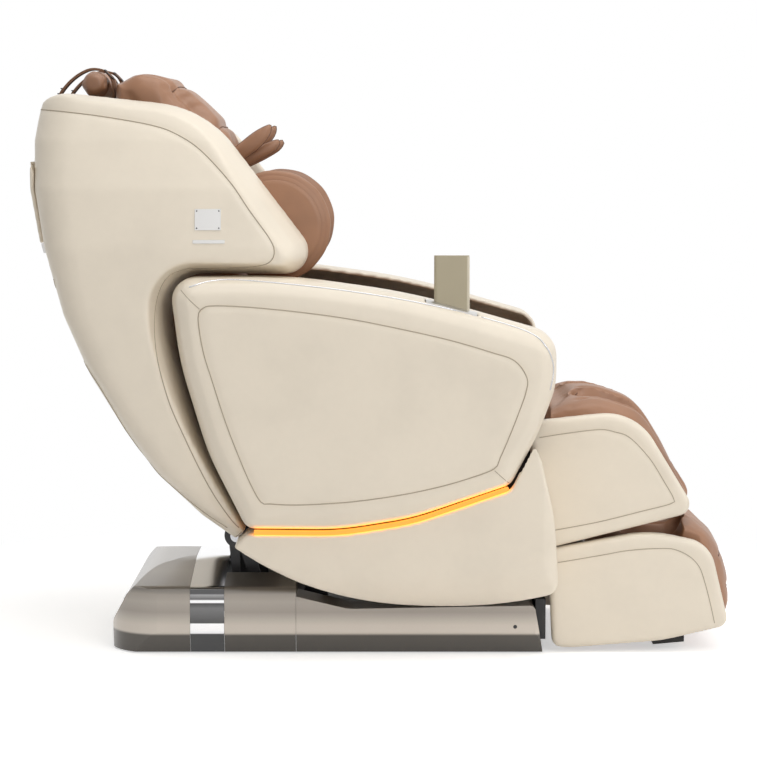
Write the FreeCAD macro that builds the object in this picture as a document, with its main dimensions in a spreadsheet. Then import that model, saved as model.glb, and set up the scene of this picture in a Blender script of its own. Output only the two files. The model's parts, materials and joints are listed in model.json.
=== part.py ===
import FreeCAD, Part
import math
import os
import re

from FreeCAD import Placement, Rotation, Vector

# Massage chair. X points to the sitter's front, Y to the sitter's left, Z up, in millimetres.
# The origin lies on the floor under the middle of the chair's box.

SIZES = {
    # main widths, each half of the full width
    "hull_half": 425,
    "hull_inner_half": 290,
    "wing_inner_half": 256,
    "seat_half": 252,
    "leg_half": 285,
    "leg_panel_thick": 30,
    "leg_plate_gap": 11,
    "leg_plate_thick": 8,
    "base_half": 300,
    "gap_small": 0.3,
    "gap_seam": 0.5,
    "run_fit": 0.05,
    # walls
    "shell_wall": 8,
    "cover_wall": 4,
    # base
    "base_rear_x": -579,
    "base_front_x": 337,
    "base_low_z": 3,
    "base_shoulder_z": 142,
    "base_crest_z": 176,
    "base_front_z": 97,
    "base_tuck": 16,
    "base_tuck_z": 46,
    "base_slope_wide": 230,
    "band_rear_x": -407,
    "band_front_x": -335,
    "cover_seam_x": -184,
    "well_half": 192,
    "skirt_thick": 7,
    "skirt_low_z": 27,
    "skirt_top_z": 112,
    "beam_half_gap": 150,
    "beam_wide": 46,
    "beam_low_z": 20,
    "beam_tall": 30,
    "beam_rear_x": -470,
    "beam_front_x": 310,
    "cross_wide": 40,
    "rail_wide": 22,
    "rail_tall": 14,
    "foot_inset": 65,
    "foot_pad_r": 24,
    "foot_pad_tall": 9,
    "foot_stem_r": 6,
    "wheel_r": 24,
    "wheel_wide": 20,
    "wheel_x": -520,
    "wheel_half_gap": 215,
    "wheel_lift": 0.6,
    "axle_r": 5,
    # pivots
    "pivot_x": -312,
    "pivot_z": 240,
    "pivot_r": 14,
    "pivot_half": 214,
    "knee_x": 325,
    "knee_z": 440,
    "knee_r": 10,
    "knee_gap": 7,
    "door_x": -340,
    "door_half": 415,
    "pod_bulge": 45,
    "door_pin_r": 8,
    # carriage
    "plate_thick": 12,
    "pedestal_half": 126,
    "pedestal_thick": 14,
    "seat_lug_half": 158,
    "seat_lug_thick": 12,
    # seat
    "side_tube_wide": 30,
    "side_tube_tall": 46,
    "side_tube_z": 212,
    "pan_thick": 3,
    "pan_z": 318,
    # back
    "back_angle": 21,
    "back_rail_half": 194,
    "back_rail_wide": 24,
    "back_rail_deep": 40,
    "back_rail_long": 850,
    "screw_r": 8,
    "massage_start": 200,
    "massage_half": 181,
    "massage_deep": 64,
    "massage_tall": 130,
    "roller_r": 28,
    "roller_wide": 32,
    "roller_half": 74,
    "roller_reach": 92,
    "roller_rise": 86,
    "roller_axle_r": 6,
    "back_pad_near": 142,
    "back_pad_far": 186,
    # remote
    "remote_x": 140,
    "remote_wide": 72,
    "remote_thick": 22,
    "remote_tall": 145,
    "remote_low_z": 700,
    # leg
    "foot_rod_r": 9,
}

doc = FreeCAD.newDocument("MassageChair")
sheet = doc.addObject("Spreadsheet::Sheet", "Sizes")
for row, (alias, value) in enumerate(SIZES.items(), start=1):
    sheet.set(f"A{row}", alias)
    sheet.set(f"B{row}", str(value))
    sheet.setAlias(f"B{row}", alias)
doc.recompute()

NODES = []


def size(alias):
    """The driving dimension as the sheet holds it."""
    return float(sheet.get(alias))


def in_sheet(word):
    return "Sizes." + word.group(0) if word.group(0) in SIZES else word.group(0)


def bind(thing, path, value):
    """Sets a property from a number, or binds it to an expression in the sheet's aliases."""
    if isinstance(value, str):
        thing.setExpression(path, re.sub(r"[a-z_]+", in_sheet, value))
    elif path.startswith("Placement.Base."):
        base = thing.Placement.Base
        setattr(base, path[-1], value)
        thing.Placement = Placement(base, thing.Placement.Rotation)
    else:
        setattr(thing, path, value)


def place_at(thing, spot):
    for axis, value in zip("xyz", spot):
        bind(thing, "Placement.Base." + axis, value)


def node(thing, label):
    thing.Label = label
    NODES.append(thing)
    return thing


def feature(label, shape):
    """A sub-part whose form is worked out with surfaces."""
    thing = doc.addObject("Part::Feature", label)
    thing.Shape = shape
    thing.Placement = shape.Placement
    return node(thing, label)


def box(label, extent, spot, turn=None):
    thing = doc.addObject("Part::Box", label)
    for name, value in zip(("Length", "Width", "Height"), extent):
        bind(thing, name, value)
    if turn:
        thing.Placement = Placement(Vector(), turn)
    place_at(thing, spot)
    return thing


def cylinder(label, radius, height, spot, along="z"):
    thing = doc.addObject("Part::Cylinder", label)
    bind(thing, "Radius", radius)
    bind(thing, "Height", height)
    turns = {"z": Rotation(), "y": Rotation(Vector(1, 0, 0), -90), "x": Rotation(Vector(0, 1, 0), 90)}
    thing.Placement = Placement(Vector(), turns[along])
    place_at(thing, spot)
    return thing


def fused(label, pieces):
    thing = doc.addObject("Part::MultiFuse", label)
    thing.Shapes = pieces
    return thing


def cut(label, base, tool):
    thing = doc.addObject("Part::Cut", label)
    thing.Base = base
    thing.Tool = tool
    return thing


def grouped(label, pieces):
    """Separate solids of one node."""
    thing = doc.addObject("Part::Compound", label)
    thing.Links = pieces
    return thing


# Outlines are lists of corners (first, second, radius) in a plane. A corner of radius 0 stays sharp.


def arc_corners(centre, radius, start, stop, count):
    """Corners of a tangent polygon around a circular arc, angles in degrees."""
    step = (stop - start) / count
    reach = radius / math.cos(math.radians(step / 2))
    corners = []
    for number in range(count):
        angle = math.radians(start + step * (number + 0.5))
        corners.append((centre[0] + reach * math.cos(angle), centre[1] + reach * math.sin(angle),
                        radius * 0.96))
    return corners


def turn_sign(corners):
    area = 0
    for (a, b, _), (c, d, _) in zip(corners, corners[1:] + corners[:1]):
        area += a * d - c * b
    return 1 if area > 0 else -1


LEAST_RADIUS = 4


def inset(corners, amounts):
    """Moves each side inward, by one amount for all or one for each side that starts at a corner."""
    count = len(corners)
    if not isinstance(amounts, (list, tuple)):
        amounts = [amounts] * count
    sign = turn_sign(corners)
    sides = []
    for index in range(count):
        start = corners[index]
        stop = corners[(index + 1) % count]
        along = Vector(stop[0] - start[0], stop[1] - start[1], 0).normalize()
        inward = Vector(-along.y, along.x, 0) * sign
        sides.append((Vector(start[0], start[1], 0) + inward * amounts[index], along))
    moved = []
    for index in range(count):
        before, ahead = sides[index - 1], sides[index]
        cross = before[1].x * ahead[1].y - before[1].y * ahead[1].x
        delta = ahead[0] - before[0]
        reach = (delta.x * ahead[1].y - delta.y * ahead[1].x) / cross
        spot = before[0] + before[1] * reach
        depth = (amounts[index - 1] + amounts[index]) / 2
        bend = 1 if cross * sign > 0 else -1
        radius = corners[index][2]
        moved.append((spot.x, spot.y, max(radius - bend * depth, LEAST_RADIUS) if radius else 0))
    return moved


def outline(corners, to_space):
    """A closed wire of straight sides and round corners, its points put in space by a function."""
    count = len(corners)
    points = [Vector(a, b, 0) for a, b, _ in corners]
    lengths = [(points[(i + 1) % count] - points[i]).Length for i in range(count)]
    halves = []
    for i in range(count):
        back = (points[i - 1] - points[i]).normalize()
        ahead = (points[(i + 1) % count] - points[i]).normalize()
        halves.append(math.acos(max(-1, min(1, back.dot(ahead)))) / 2)
    cuts = [corners[i][2] / math.tan(halves[i]) for i in range(count)]
    for i in range(count):
        room = 0.98 * lengths[i]
        total = cuts[i] + cuts[(i + 1) % count]
        if total > room:
            cuts[i] *= room / total
            cuts[(i + 1) % count] *= room / total
    arcs = []
    for i in range(count):
        back = (points[i - 1] - points[i]).normalize()
        ahead = (points[(i + 1) % count] - points[i]).normalize()
        radius = cuts[i] * math.tan(halves[i])
        middle = (back + ahead).normalize()
        centre = points[i] + middle * (radius / math.sin(halves[i]))
        arcs.append((points[i] + back * cuts[i], centre - middle * radius, points[i] + ahead * cuts[i]))
    edges = []
    for i in range(count):
        first, mid, last = (to_space(p.x, p.y) for p in arcs[i])
        if cuts[i]:
            edges.append(Part.Arc(first, mid, last).toShape())
        edges.append(Part.LineSegment(last, to_space(arcs[(i + 1) % count][0].x,
                                                     arcs[(i + 1) % count][0].y)).toShape())
    return Part.Wire(edges)


def side_wire(corners, y):
    return outline(corners, lambda a, b: Vector(a, y, b))


def plan_wire(corners, z):
    return outline(corners, lambda a, b: Vector(a, b, z))


def cross_wire(corners, x):
    return outline(corners, lambda a, b: Vector(x, a, b))


def side_prism(corners, y_low, y_high):
    return Part.Face(side_wire(corners, y_low)).extrude(Vector(0, y_high - y_low, 0))


def plan_prism(corners, z_low, z_high):
    return Part.Face(plan_wire(corners, z_low)).extrude(Vector(0, 0, z_high - z_low))


def cross_prism(corners, x_low, x_high):
    return Part.Face(cross_wire(corners, x_low)).extrude(Vector(x_high - x_low, 0, 0))


def block(low, high):
    return Part.makeBox(high[0] - low[0], high[1] - low[1], high[2] - low[2], Vector(*low))


def loft(wires, straight=True):
    """A solid through closed wires, straight between them or smooth, its faces turned outward."""
    solid = Part.makeLoft(wires, True, straight)
    if solid.Volume < 0:
        solid.reverse()
    return solid


def slab(corners, sections):
    """A moulded panel: one outline drawn in by an amount at each station across the chair."""
    return loft([side_wire(inset(corners, amount), y) for y, amount in sections])


def mirrored(shape):
    return shape.mirror(Vector(), Vector(0, 1, 0))


def both_sides(shape):
    return Part.makeCompound([shape, mirrored(shape)])


def one_solid(shape):
    """The single solid of a boolean result."""
    solids = shape.Solids
    return max(solids, key=lambda solid: solid.Volume)


# Base

def base_tuck(z):
    """How far the covers' sides are drawn in at a height below their bulge."""
    fall = (size("base_tuck_z") - z) / (size("base_tuck_z") - size("base_low_z"))
    return size("base_tuck") * max(0, fall)


def base_body(wall):
    """The covers as one block, drawn in by a wall."""
    half = size("base_half") - wall
    low = -20 if wall > 0 else size("base_low_z") + wall
    rear = size("base_rear_x") + wall
    front = size("base_front_x") - wall
    crest = size("base_crest_z") - wall
    shoulder = size("base_shoulder_z") - wall
    seam = size("cover_seam_x")
    low_top = size("base_front_z") - wall
    side = [
        (rear + 3, low, 0), (rear, 58, 40), (rear + 42, crest - 42, 110), (rear + 80, crest - 11, 110),
        (rear + 150, crest, 300),
        (seam, crest, 0), (seam + 1, low_top + 26, 0), (seam + 110, low_top, 120),
        (front - 18, low_top + 7, 12),
        (front, low, 0),
    ]
    foot = half - base_tuck(low - 1)
    knee = size("base_tuck_z")
    ridge = half - size("base_slope_wide")
    across = [
        (-foot, low - 1, 0), (-half, knee, 14), (-half, shoulder, 16), (-ridge, crest + 1, 500),
        (ridge, crest + 1, 500), (half, shoulder, 16), (half, knee, 14), (foot, low - 1, 0),
    ]
    plan = [
        (rear - 1, -half - 1, 118), (front + 1, -half - 1, 26), (front + 1, half + 1, 26),
        (rear - 1, half + 1, 118),
    ]
    body = side_prism(side, -half - 1, half + 1)
    body = body.common(cross_prism(across, rear - 2, front + 2))
    return body.common(plan_prism(plan, low - 2, crest + 2))


def base_covers():
    shell = base_body(0).cut(base_body(size("cover_wall")))
    well = size("well_half")
    rear_strip = size("band_front_x")
    well_front = size("base_front_x") - 36
    shell = shell.cut(block((rear_strip, -well, 60), (well_front, well, 300)))
    seam = size("gap_seam") / 2
    cuts = [size("base_rear_x") - 10, size("band_rear_x"), size("band_front_x"), size("cover_seam_x"),
            size("base_front_x") + 10]
    covers = {}
    names = ("base_rear_cover", "base_chrome_band", "base_middle_cover", "base_front_cover")
    for name, low, high in zip(names, cuts, cuts[1:]):
        covers[name] = shell.common(block((low + seam, -400, -10), (high - seam, 400, 400)))
    rear = covers["base_rear_cover"]
    for window in (inlet_window(), rocker_window()):
        rear = rear.cut(window)
    for side in (-1, 1):
        y = side * size("wheel_half_gap")
        reach = size("wheel_wide") / 2 + 4
        rear = rear.cut(block((size("wheel_x") - 34, y - reach, -5), (size("wheel_x") + 34, y + reach, 12)))
    covers["base_rear_cover"] = rear
    for name in names:
        feature(name, covers[name])


INLET_Y = 150
ROCKER_Y = 105
INLET_Z = 38


def inlet_window():
    x = size("base_rear_x")
    return block((x - 10, INLET_Y - 15, INLET_Z - 12), (x + 20, INLET_Y + 15, INLET_Z + 12))


def rocker_window():
    x = size("base_rear_x")
    return block((x - 10, ROCKER_Y - 11, INLET_Z - 8), (x + 20, ROCKER_Y + 11, INLET_Z + 8))


def power_inlet():
    """A panel on the rear cover with the mains socket and the frame of the rocker."""
    x = size("base_rear_x") + 3
    gap = size("gap_small")
    plate = block((x - 6.5, ROCKER_Y - 20, INLET_Z - 17), (x - 3.3, INLET_Y + 22, INLET_Z + 17))
    socket = block((x - 4, INLET_Y - 15 + gap, INLET_Z - 12 + gap),
                   (x + 26, INLET_Y + 15 - gap, INLET_Z + 12 - gap))
    frame = block((x - 4, ROCKER_Y - 11 + gap, INLET_Z - 8 + gap),
                  (x + 18, ROCKER_Y + 11 - gap, INLET_Z + 8 - gap))
    shape = plate.fuse(socket).fuse(frame)
    mouth = block((x - 10, INLET_Y - 12, INLET_Z - 8.5), (x + 18, INLET_Y + 12, INLET_Z + 8.5))
    shape = shape.cut(mouth)
    for pin_y in (-7, 0, 7):
        lift = 0 if pin_y else 3.5
        pin = block((x + 2, INLET_Y + pin_y - 1, INLET_Z + lift - 2),
                    (x + 19, INLET_Y + pin_y + 1, INLET_Z + lift + 2))
        shape = shape.fuse(pin)
    hollow = block((x - 10, ROCKER_Y - 9, INLET_Z - 6), (x + 15, ROCKER_Y + 9, INLET_Z + 6))
    feature("power_inlet", shape.cut(hollow).removeSplitter())


def power_rocker():
    """A rocker that turns on a pin along Z."""
    x = size("base_rear_x") + 3
    profile = [(x - 9.5, -7.6), (x - 7.6, 0), (x - 9.5, 7.6), (x + 1, 7.6), (x + 4, 0), (x + 1, -7.6)]
    points = [Vector(a, ROCKER_Y + b, INLET_Z - 5.6) for a, b in profile]
    face = Part.Face(Part.makePolygon(points + points[:1]))
    feature("power_rocker", face.extrude(Vector(0, 0, 11.2)))


def base_frame():
    pieces = []
    for side in ("-", ""):
        pieces.append(box("Beam", ("beam_front_x - beam_rear_x", "beam_wide", "beam_tall"),
                          ("beam_rear_x", f"{side}beam_half_gap - beam_wide / 2", "beam_low_z")))
    for spot in ("beam_rear_x", "-170", "beam_front_x - cross_wide"):
        reach = f"base_half - cover_wall - 2 * gap_small - {base_tuck(size('beam_low_z')):.3f}"
        pieces.append(box("Cross", ("cross_wide", f"2 * ({reach})", "beam_tall"),
                          (spot, f"-({reach})", "beam_low_z")))
    for arm_y, stub_y in (("-wheel_half_gap + 15", "-wheel_half_gap - 12"),
                          ("wheel_half_gap - 27", "wheel_half_gap - 18")):
        pieces.append(box("Arm", ("beam_rear_x - wheel_x + 14", "12", "24"),
                          ("wheel_x - 14", arm_y, "beam_low_z - 6")))
        pieces.append(cylinder("Stub", "axle_r", "30", ("wheel_x", stub_y, "wheel_r + wheel_lift"),
                               along="y"))
    node(fused("BaseFrame", pieces), "base_frame")


def slide_rails():
    pieces = []
    for side in ("-", ""):
        pieces.append(box("Rail", ("beam_front_x - beam_rear_x - 130", "rail_wide", "rail_tall"),
                          ("beam_rear_x + 130", f"{side}beam_half_gap - rail_wide / 2",
                           "beam_low_z + beam_tall")))
    node(grouped("SlideRails", pieces), "slide_rails")


def levelling_feet():
    pieces = []
    for x in ("beam_rear_x + cross_wide / 2", "beam_front_x - cross_wide / 2"):
        for side in ("-", ""):
            y = f"{side}(base_half - foot_inset)"
            pad = cylinder("Pad", "foot_pad_r", "foot_pad_tall", (x, y, 0))
            stem = cylinder("Stem", "foot_stem_r", "beam_low_z - foot_pad_tall", (x, y, "foot_pad_tall"))
            pieces.append(fused("Foot", [pad, stem]))
    node(grouped("LevellingFeet", pieces), "levelling_feet")


def front_skirt():
    """A soft apron that hooks over the front cover's edge."""
    half = size("base_half") - 34
    front = size("base_front_x")
    thick = size("skirt_thick")
    apron = block((front - 2 * thick, -half, size("skirt_low_z")), (front + thick, half, size("skirt_top_z")))
    feature("front_skirt", one_solid(apron.cut(base_body(-size("gap_small")))))


def origin_plane(body, role):
    return next(item for item in body.Origin.OriginFeatures if item.Role == role)


def profile_sketch(body, label, role, points):
    """A closed sketch of straight sides on an origin plane of its own body."""
    sketch = body.newObject("Sketcher::SketchObject", label)
    sketch.AttachmentSupport = [(origin_plane(body, role), "")]
    sketch.MapMode = "FlatFace"
    count = len(points)
    for index in range(count):
        a = points[index]
        b = points[(index + 1) % count]
        sketch.addGeometry(Part.LineSegment(Vector(a[0], a[1], 0), Vector(b[0], b[1], 0)), False)
    return sketch


def revolved_body(label, points, spot, along_y=True):
    """A turned part: a half section (distance along the axis, radius) revolved about the first axis."""
    body = doc.addObject("PartDesign::Body", label + "_body")
    sketch = profile_sketch(body, label + "_section", "XY_Plane", points)
    turned = body.newObject("PartDesign::Revolution", label + "_turned")
    turned.Profile = sketch
    turned.ReferenceAxis = (sketch, ["H_Axis"])
    turned.Angle = 360
    body.Placement = Placement(Vector(*spot), Rotation(Vector(0, 0, 1), 90 if along_y else 0))
    return body


def transport_wheels():
    r = size("wheel_r")
    w = size("wheel_wide") / 2
    bore = size("axle_r") + size("run_fit")
    tyre = [(-w, bore), (-w, r - 9), (-w + 2, r - 2), (-w + 5, r), (w - 5, r), (w - 2, r - 2), (w, r - 9),
            (w, bore)]
    z = r + size("wheel_lift")
    for side, name in ((-1, "right"), (1, "left")):
        spot = (size("wheel_x"), side * size("wheel_half_gap"), z)
        node(revolved_body("transport_wheel_" + name, tyre, spot), "transport_wheel_" + name)


# Carriage

TILT_FOOT = (-150, 106)
TILT_HEAD = (110, 190)
RECLINE_FOOT = (-44, 231)
RECLINE_HEAD = (0, 80)
RECLINE_Y = -95
LEG_FOOT = (226, 212)
LEG_HEAD = (355, 365)
EYE_HALF = 8
FOOT_PIN_R = 6
HEAD_PIN_R = 5


def lug_corners(pin, base, reach):
    """A lug's side outline: a round end about the pin, widening to its base."""
    x, z = pin
    sign = 1 if z > base else -1
    return [(x - reach, base, 0), (x - 9, z + sign * 15, 0), (x + 9, z + sign * 15, 0), (x + reach, base, 0)]


def pin_across(spot, y, radius, half=21):
    return Part.makeCylinder(radius, 2 * half, Vector(spot[0], y - half, spot[1]), Vector(0, 1, 0))


def seat_carriage():
    """A plate on the rails with two pedestals for the common shaft and two rests for the seat."""
    rail_top = size("beam_low_z") + size("beam_tall") + size("rail_tall")
    gap = size("gap_small")
    plate_low = rail_top + 6
    thick = size("plate_thick")
    px, pz = size("pivot_x"), size("pivot_z")
    pieces = [block((px - 8, -175, plate_low), (190, 175, plate_low + thick))]
    for side in (-1, 1):
        for x in (px, 130):
            y = side * size("beam_half_gap")
            shoe = block((x, y - 24, rail_top - 10), (x + 60, y + 24, plate_low + 1))
            groove = block((x - 1, y - size("rail_wide") / 2 - gap, 0),
                           (x + 61, y + size("rail_wide") / 2 + gap, rail_top + gap))
            pieces.append(shoe.cut(groove))
        rib = [(px - 6, plate_low + 2, 0), (px - 24, pz, 24), (px, pz + 26, 26), (px + 26, pz, 26),
               (px + 62, plate_low + 2, 0)]
        y = side * size("pedestal_half")
        half = size("pedestal_thick") / 2
        pieces.append(side_prism(rib, y - half, y + half))
        rest = size("side_tube_z") + 3 - gap
        pieces.append(Part.makeCylinder(17, rest - plate_low - thick + 1,
                                        Vector(111, side * 140, plate_low + thick - 1)))
        y = side * 14.5
        pieces.append(side_prism(lug_corners(TILT_FOOT, plate_low + thick - 1, 30), y - 6, y + 6))
    pieces.append(pin_across(TILT_FOOT, 0, FOOT_PIN_R))
    shape = pieces[0].multiFuse(pieces[1:])
    bore = Part.makeCylinder(size("pivot_r") + size("run_fit"), 600, Vector(px, -300, pz), Vector(0, 1, 0))
    window = side_prism([(px + 2, 120, 0), (px + 2, 200, 0), (px + 30, 120, 0)], -200, 200)
    feature("seat_carriage", shape.cut(bore).cut(window).removeSplitter())


def pivot_shaft():
    node(cylinder("PivotShaft", "pivot_r", "2 * pivot_half", ("pivot_x", "-pivot_half", "pivot_z"),
                  along="y"),
         "pivot_shaft")


# Seat

POD = [
    (-439, 800, 46), (-200, 801, 1200), (60, 765, 1500), (355, 681, 52), (355, 577, 160), (318, 478, 400),
    (262, 374, 28), (60, 305, 500), (-90, 281, 600), (-282, 283, 26), (-360, 438, 500), (-417, 625, 600),
]
HULL_CENTRE = (123, 921)
HULL_RADIUS = 807


def hull_lower():
    """Corners of the hull's rear tip, belly and front foot."""
    belly = arc_corners(HULL_CENTRE, HULL_RADIUS, -122, -75.5, 3)
    return [(-309, 246, 0)] + belly + [(363, 147, 30)]


def hull_side(drop):
    """The hull's side outline, whose deck lies a drop under the pods' lower edge."""
    deck = [(x, z - drop, r) for x, z, r in POD[6:9]]
    return hull_lower() + [(354, 300, 500), (314, 470, 8)] + deck + [(-281, 283 - drop, 0)]


def hull_volume(wall):
    half = size("hull_half") - wall
    low = 108 + wall
    across = [(-half, 600, 0), (-half, low, 90), (half, low, 90), (half, 600, 0)]
    front = 368 - wall
    plan = [(-360, -half - 1, 0), (front, -half - 1, 46), (front, half + 1, 46), (-360, half + 1, 0)]
    return cross_prism(across, -400, 420).common(plan_prism(plan, 50, 620))


def seat_hull():
    """A boat shaped shell: a side, a cross and a plan outline cut from each other."""
    half = size("hull_half")
    inner = size("hull_inner_half")
    wall = size("shell_wall")
    outer = side_prism(hull_side(11), -half - 1, half + 1).common(hull_volume(0))
    hollow = side_prism(inset(hull_side(11), wall), -half, half).common(hull_volume(wall))
    well = side_prism(inset(hull_lower() + [(354, 700, 0), (-330, 700, 0)], wall), -inner, inner)
    shape = outer.cut(hollow).cut(well.common(hull_volume(wall)))
    path = [(x + 22, z - 9, r) for x, z, r in POD[4:9]]
    path += [(-330, 274, 0), (-400, 900, 0), (500, 1100, 0)]
    for side in (-1, 1):
        low, high = sorted((side * (inner - 12), side * 402))
        shape = shape.cut(side_prism(path, low, high))
        low, high = sorted((side * 400, side * (half - 4.5)))
        shape = shape.cut(side_prism(path, low, high).common(block((270, -half, 400), (345, half, 520))))
    shape = shape.cut(block((-400, -inner + 30, 0), (-222, inner - 30, 500)))
    shape = shape.cut(block((290, -inner, 196), (500, inner, 700)))
    front = size("base_front_x") + 3
    sill = block((front - wall, -inner - 4, 150), (front, inner + 4, 196))
    shape = shape.cut(block((front, -inner, 100), (500, inner, 700))).fuse(sill.common(outer))
    shape = shape.cut(block((-175, -52, 60), (150, 52, 190)))
    for side in (-1, 1):
        shape = shape.cut(block((72, side * 140 - 20, 90), (131, side * 140 + 20, 150)))
    feature("seat_hull", one_solid(shape))


def led_strips():
    """A lit strip on the hull's rim under each pod."""
    half = size("hull_half")
    top = [(x, z - 2.5, r) for x, z, r in POD[6:10]]
    low = [(x, z - 10.7, r) for x, z, r in POD[6:10]]
    top[0] = (258, 371, 8)
    low[0] = (258, 363, 8)
    top[3] = (-266, 280.3, 0)
    low[3] = (-266, 272.1, 0)
    strip = side_prism(top + low[::-1], -half - 1, -half + 18)
    feature("led_strips", both_sides(strip))


def seat_frame():
    """Side tubes, lugs on the common shaft, cross tubes, knee plates and the seat pan."""
    px, pz = size("pivot_x"), size("pivot_z")
    kx, kz = size("knee_x"), size("knee_z")
    wide, tall, low = size("side_tube_wide"), size("side_tube_tall"), size("side_tube_z")
    lug_half, lug_thick = size("seat_lug_half"), size("seat_lug_thick")
    pieces = []
    for side in (-1, 1):
        y = side * 205
        pieces.append(block((-215, y - wide / 2, low), (285, y + wide / 2, low + tall)))
        lug = [(px, pz - 26, 25), (px - 26, pz, 25), (px, pz + 26, 25), (-190, low + tall + 4, 0),
               (-190, low, 0)]
        y = side * lug_half
        pieces.append(side_prism(lug, y - lug_thick / 2, y + lug_thick / 2))
        knee = [(kx - 125, low + 2, 0), (kx - 38, low + 2, 0), (kx + 20, kz - 10, 18), (kx + 12, kz + 22, 20),
                (kx - 24, kz + 10, 0), (kx - 125, low + tall + 10, 0)]
        y = side * 226
        pieces.append(side_prism(knee, y - 5, y + 5))
        pieces.append(block((85, side * 205 - 4, 123), (105, side * 205 + 4, low + 2)))
        y = side * 14.5
        pieces.append(side_prism(lug_corners(TILT_HEAD, low + 6, 15), y - 6, y + 6))
        ear = [(172, low + 5, 0), (LEG_FOOT[0] - 6, low - 14, 0), (LEG_FOOT[0] + 14, low - 12, 0),
               (LEG_FOOT[0] + 10, low + 16, 0), (172, low + 33, 0)]
        pieces.append(side_prism(ear, y - 6, y + 6))
        y = RECLINE_Y + side * 14.5
        fork = [(-14, low + 5, 0), (RECLINE_FOOT[0] - 14, RECLINE_FOOT[1] - 13, 0),
                (RECLINE_FOOT[0] - 14, RECLINE_FOOT[1] + 13, 0), (-14, low + 33, 0)]
        pieces.append(side_prism(fork, y - 6, y + 6))
    pieces.append(pin_across(TILT_HEAD, 0, HEAD_PIN_R))
    pieces.append(pin_across(LEG_FOOT, 0, FOOT_PIN_R))
    pieces.append(pin_across(RECLINE_FOOT, RECLINE_Y, FOOT_PIN_R))
    for x, high in ((-205, 18), (-20, 35), (95, 35), (170, 35)):
        pieces.append(block((x, -230, low + 3), (x + 32, 230, low + high)))
    for x in (-195, 205):
        for side in (-1, 1):
            pieces.append(block((x, side * 190 - 10, low + 30), (x + 14, side * 190 + 10, size("pan_z") + 1)))
    pan_low, thick = size("pan_z"), size("pan_thick")
    pan = [(-205, pan_low, 0), (20, pan_low, 200), (230, pan_low + 26, 0), (230, pan_low + 26 + thick, 0),
           (20, pan_low + thick, 200), (-205, pan_low + thick, 0)]
    pieces.append(side_prism(pan, -240, 240))
    shape = pieces[0].multiFuse(pieces[1:])
    bore = Part.makeCylinder(size("pivot_r") + size("run_fit"), 600, Vector(px, -300, pz), Vector(0, 1, 0))
    knee_bore = Part.makeCylinder(size("knee_r") + size("run_fit"), 600, Vector(kx, -300, kz),
                                  Vector(0, 1, 0))
    feature("seat_frame", shape.cut(bore).cut(knee_bore).removeSplitter())


def knee_shaft():
    start = "knee_gap - leg_half + leg_panel_thick"
    node(cylinder("KneeShaft", "knee_r", f"-2 * ({start})", ("knee_x", start, "knee_z"), along="y"),
         "knee_shaft")


def seat_cushion():
    """A crowned pad with three sewn channels across it."""
    half = size("seat_half")
    low = size("pan_z") + size("pan_thick") + size("gap_small")
    side = [
        (-262, low, 14), (20, low, 200), (226, low + 26, 24), (238, 440, 60), (205, 480, 60), (90, 462, 300),
        (-60, 434, 300), (-262, 432, 60),
    ]
    sides = [0, 0, 4, 10, 10, 10, 10, 8]
    sections = crown(half, sides)
    pad = slab(side, sections)
    for x, z in ((120, 468), (10, 446), (-100, 431)):
        pad = pad.cut(Part.makeCylinder(7, 2 * half, Vector(x, -half, z + 3), Vector(0, 1, 0)))
    feature("seat_cushion", one_solid(pad))


def box_unit(low, high, radius):
    body = block(low, high)
    upright = [edge for edge in body.Edges if abs(edge.Vertexes[0].Z - edge.Vertexes[1].Z) > 1]
    return body.makeFillet(radius, upright)


def shelf_z():
    """Height of the cross tubes' tops, which carry the pump and the control box."""
    return size("side_tube_z") + 35 + size("gap_small")


def control_box():
    low = shelf_z()
    shape = box_unit((0, 60, low), (150, 170, low + 50), 6)
    for x in range(14, 136, 12):
        shape = shape.cut(block((x, 80, low + 46), (x + 5, 150, low + 60)))
    feature("control_box", shape)


def air_pump():
    low = shelf_z()
    body = box_unit((30, -185, low + 5), (150, -76, low + 40), 10)
    for x in (66, 118):
        body = body.fuse(Part.makeCylinder(20, 18, Vector(x, -130, low + 38)))
    nozzle = Part.makeCylinder(5, 16, Vector(149, -130, low + 22), Vector(1, 0, 0))
    pads = [block((104, y - 8, low), (120, y + 8, low + 6)) for y in (-166, -94)]
    feature("air_pump", body.fuse(nozzle).multiFuse(pads).removeSplitter())


DOOR_LEAN = 0.05
DOOR_Z = 640


def door_pin(radius, half):
    """A pin on the right door's hinge line, which leans in so that the door rises as it opens."""
    along = Vector(0, DOOR_LEAN, 1).normalize()
    middle = Vector(size("door_x"), -size("door_half"), DOOR_Z)
    return Part.makeCylinder(radius, 2 * half, middle - along * half, along)


def door_pillars():
    """A raked pillar on each side of the seat with two arms that hold the door's pin."""
    dx, dy = size("door_x"), size("door_half")
    rake = [(-262, 262, 0), (-300, 312, 0), (-352, 438, 0), (-402, 625, 0), (-404, 722, 0), (-330, 722, 0),
            (-336, 620, 0), (-290, 440, 0), (-214, 262, 0)]
    plate = side_prism(rake, -286, -271)
    pieces = [plate]
    for z in (590, 690):
        arm = [(dx - 17, -272, 0), (dx - 17, -dy - 17, 17), (dx + 17, -dy - 17, 17), (dx + 17, -272, 0)]
        pieces.append(plan_prism(arm, z - 8, z + 8))
    pieces.append(door_pin(size("door_pin_r"), 58))
    end = -215 - size("gap_small")
    pieces.append(block((-262, -286, 262), (end, -216, 276)))
    pieces.append(block((-262, -226, 250), (end, -216, 276)))
    pillar = pieces[0].multiFuse(pieces[1:]).removeSplitter()
    feature("door_pillars", both_sides(pillar))


# Doors

PAD_BACK_Y = -316
PAD_POSTS = [(-150, 420), (-60, 660), (200, 520)]

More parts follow.
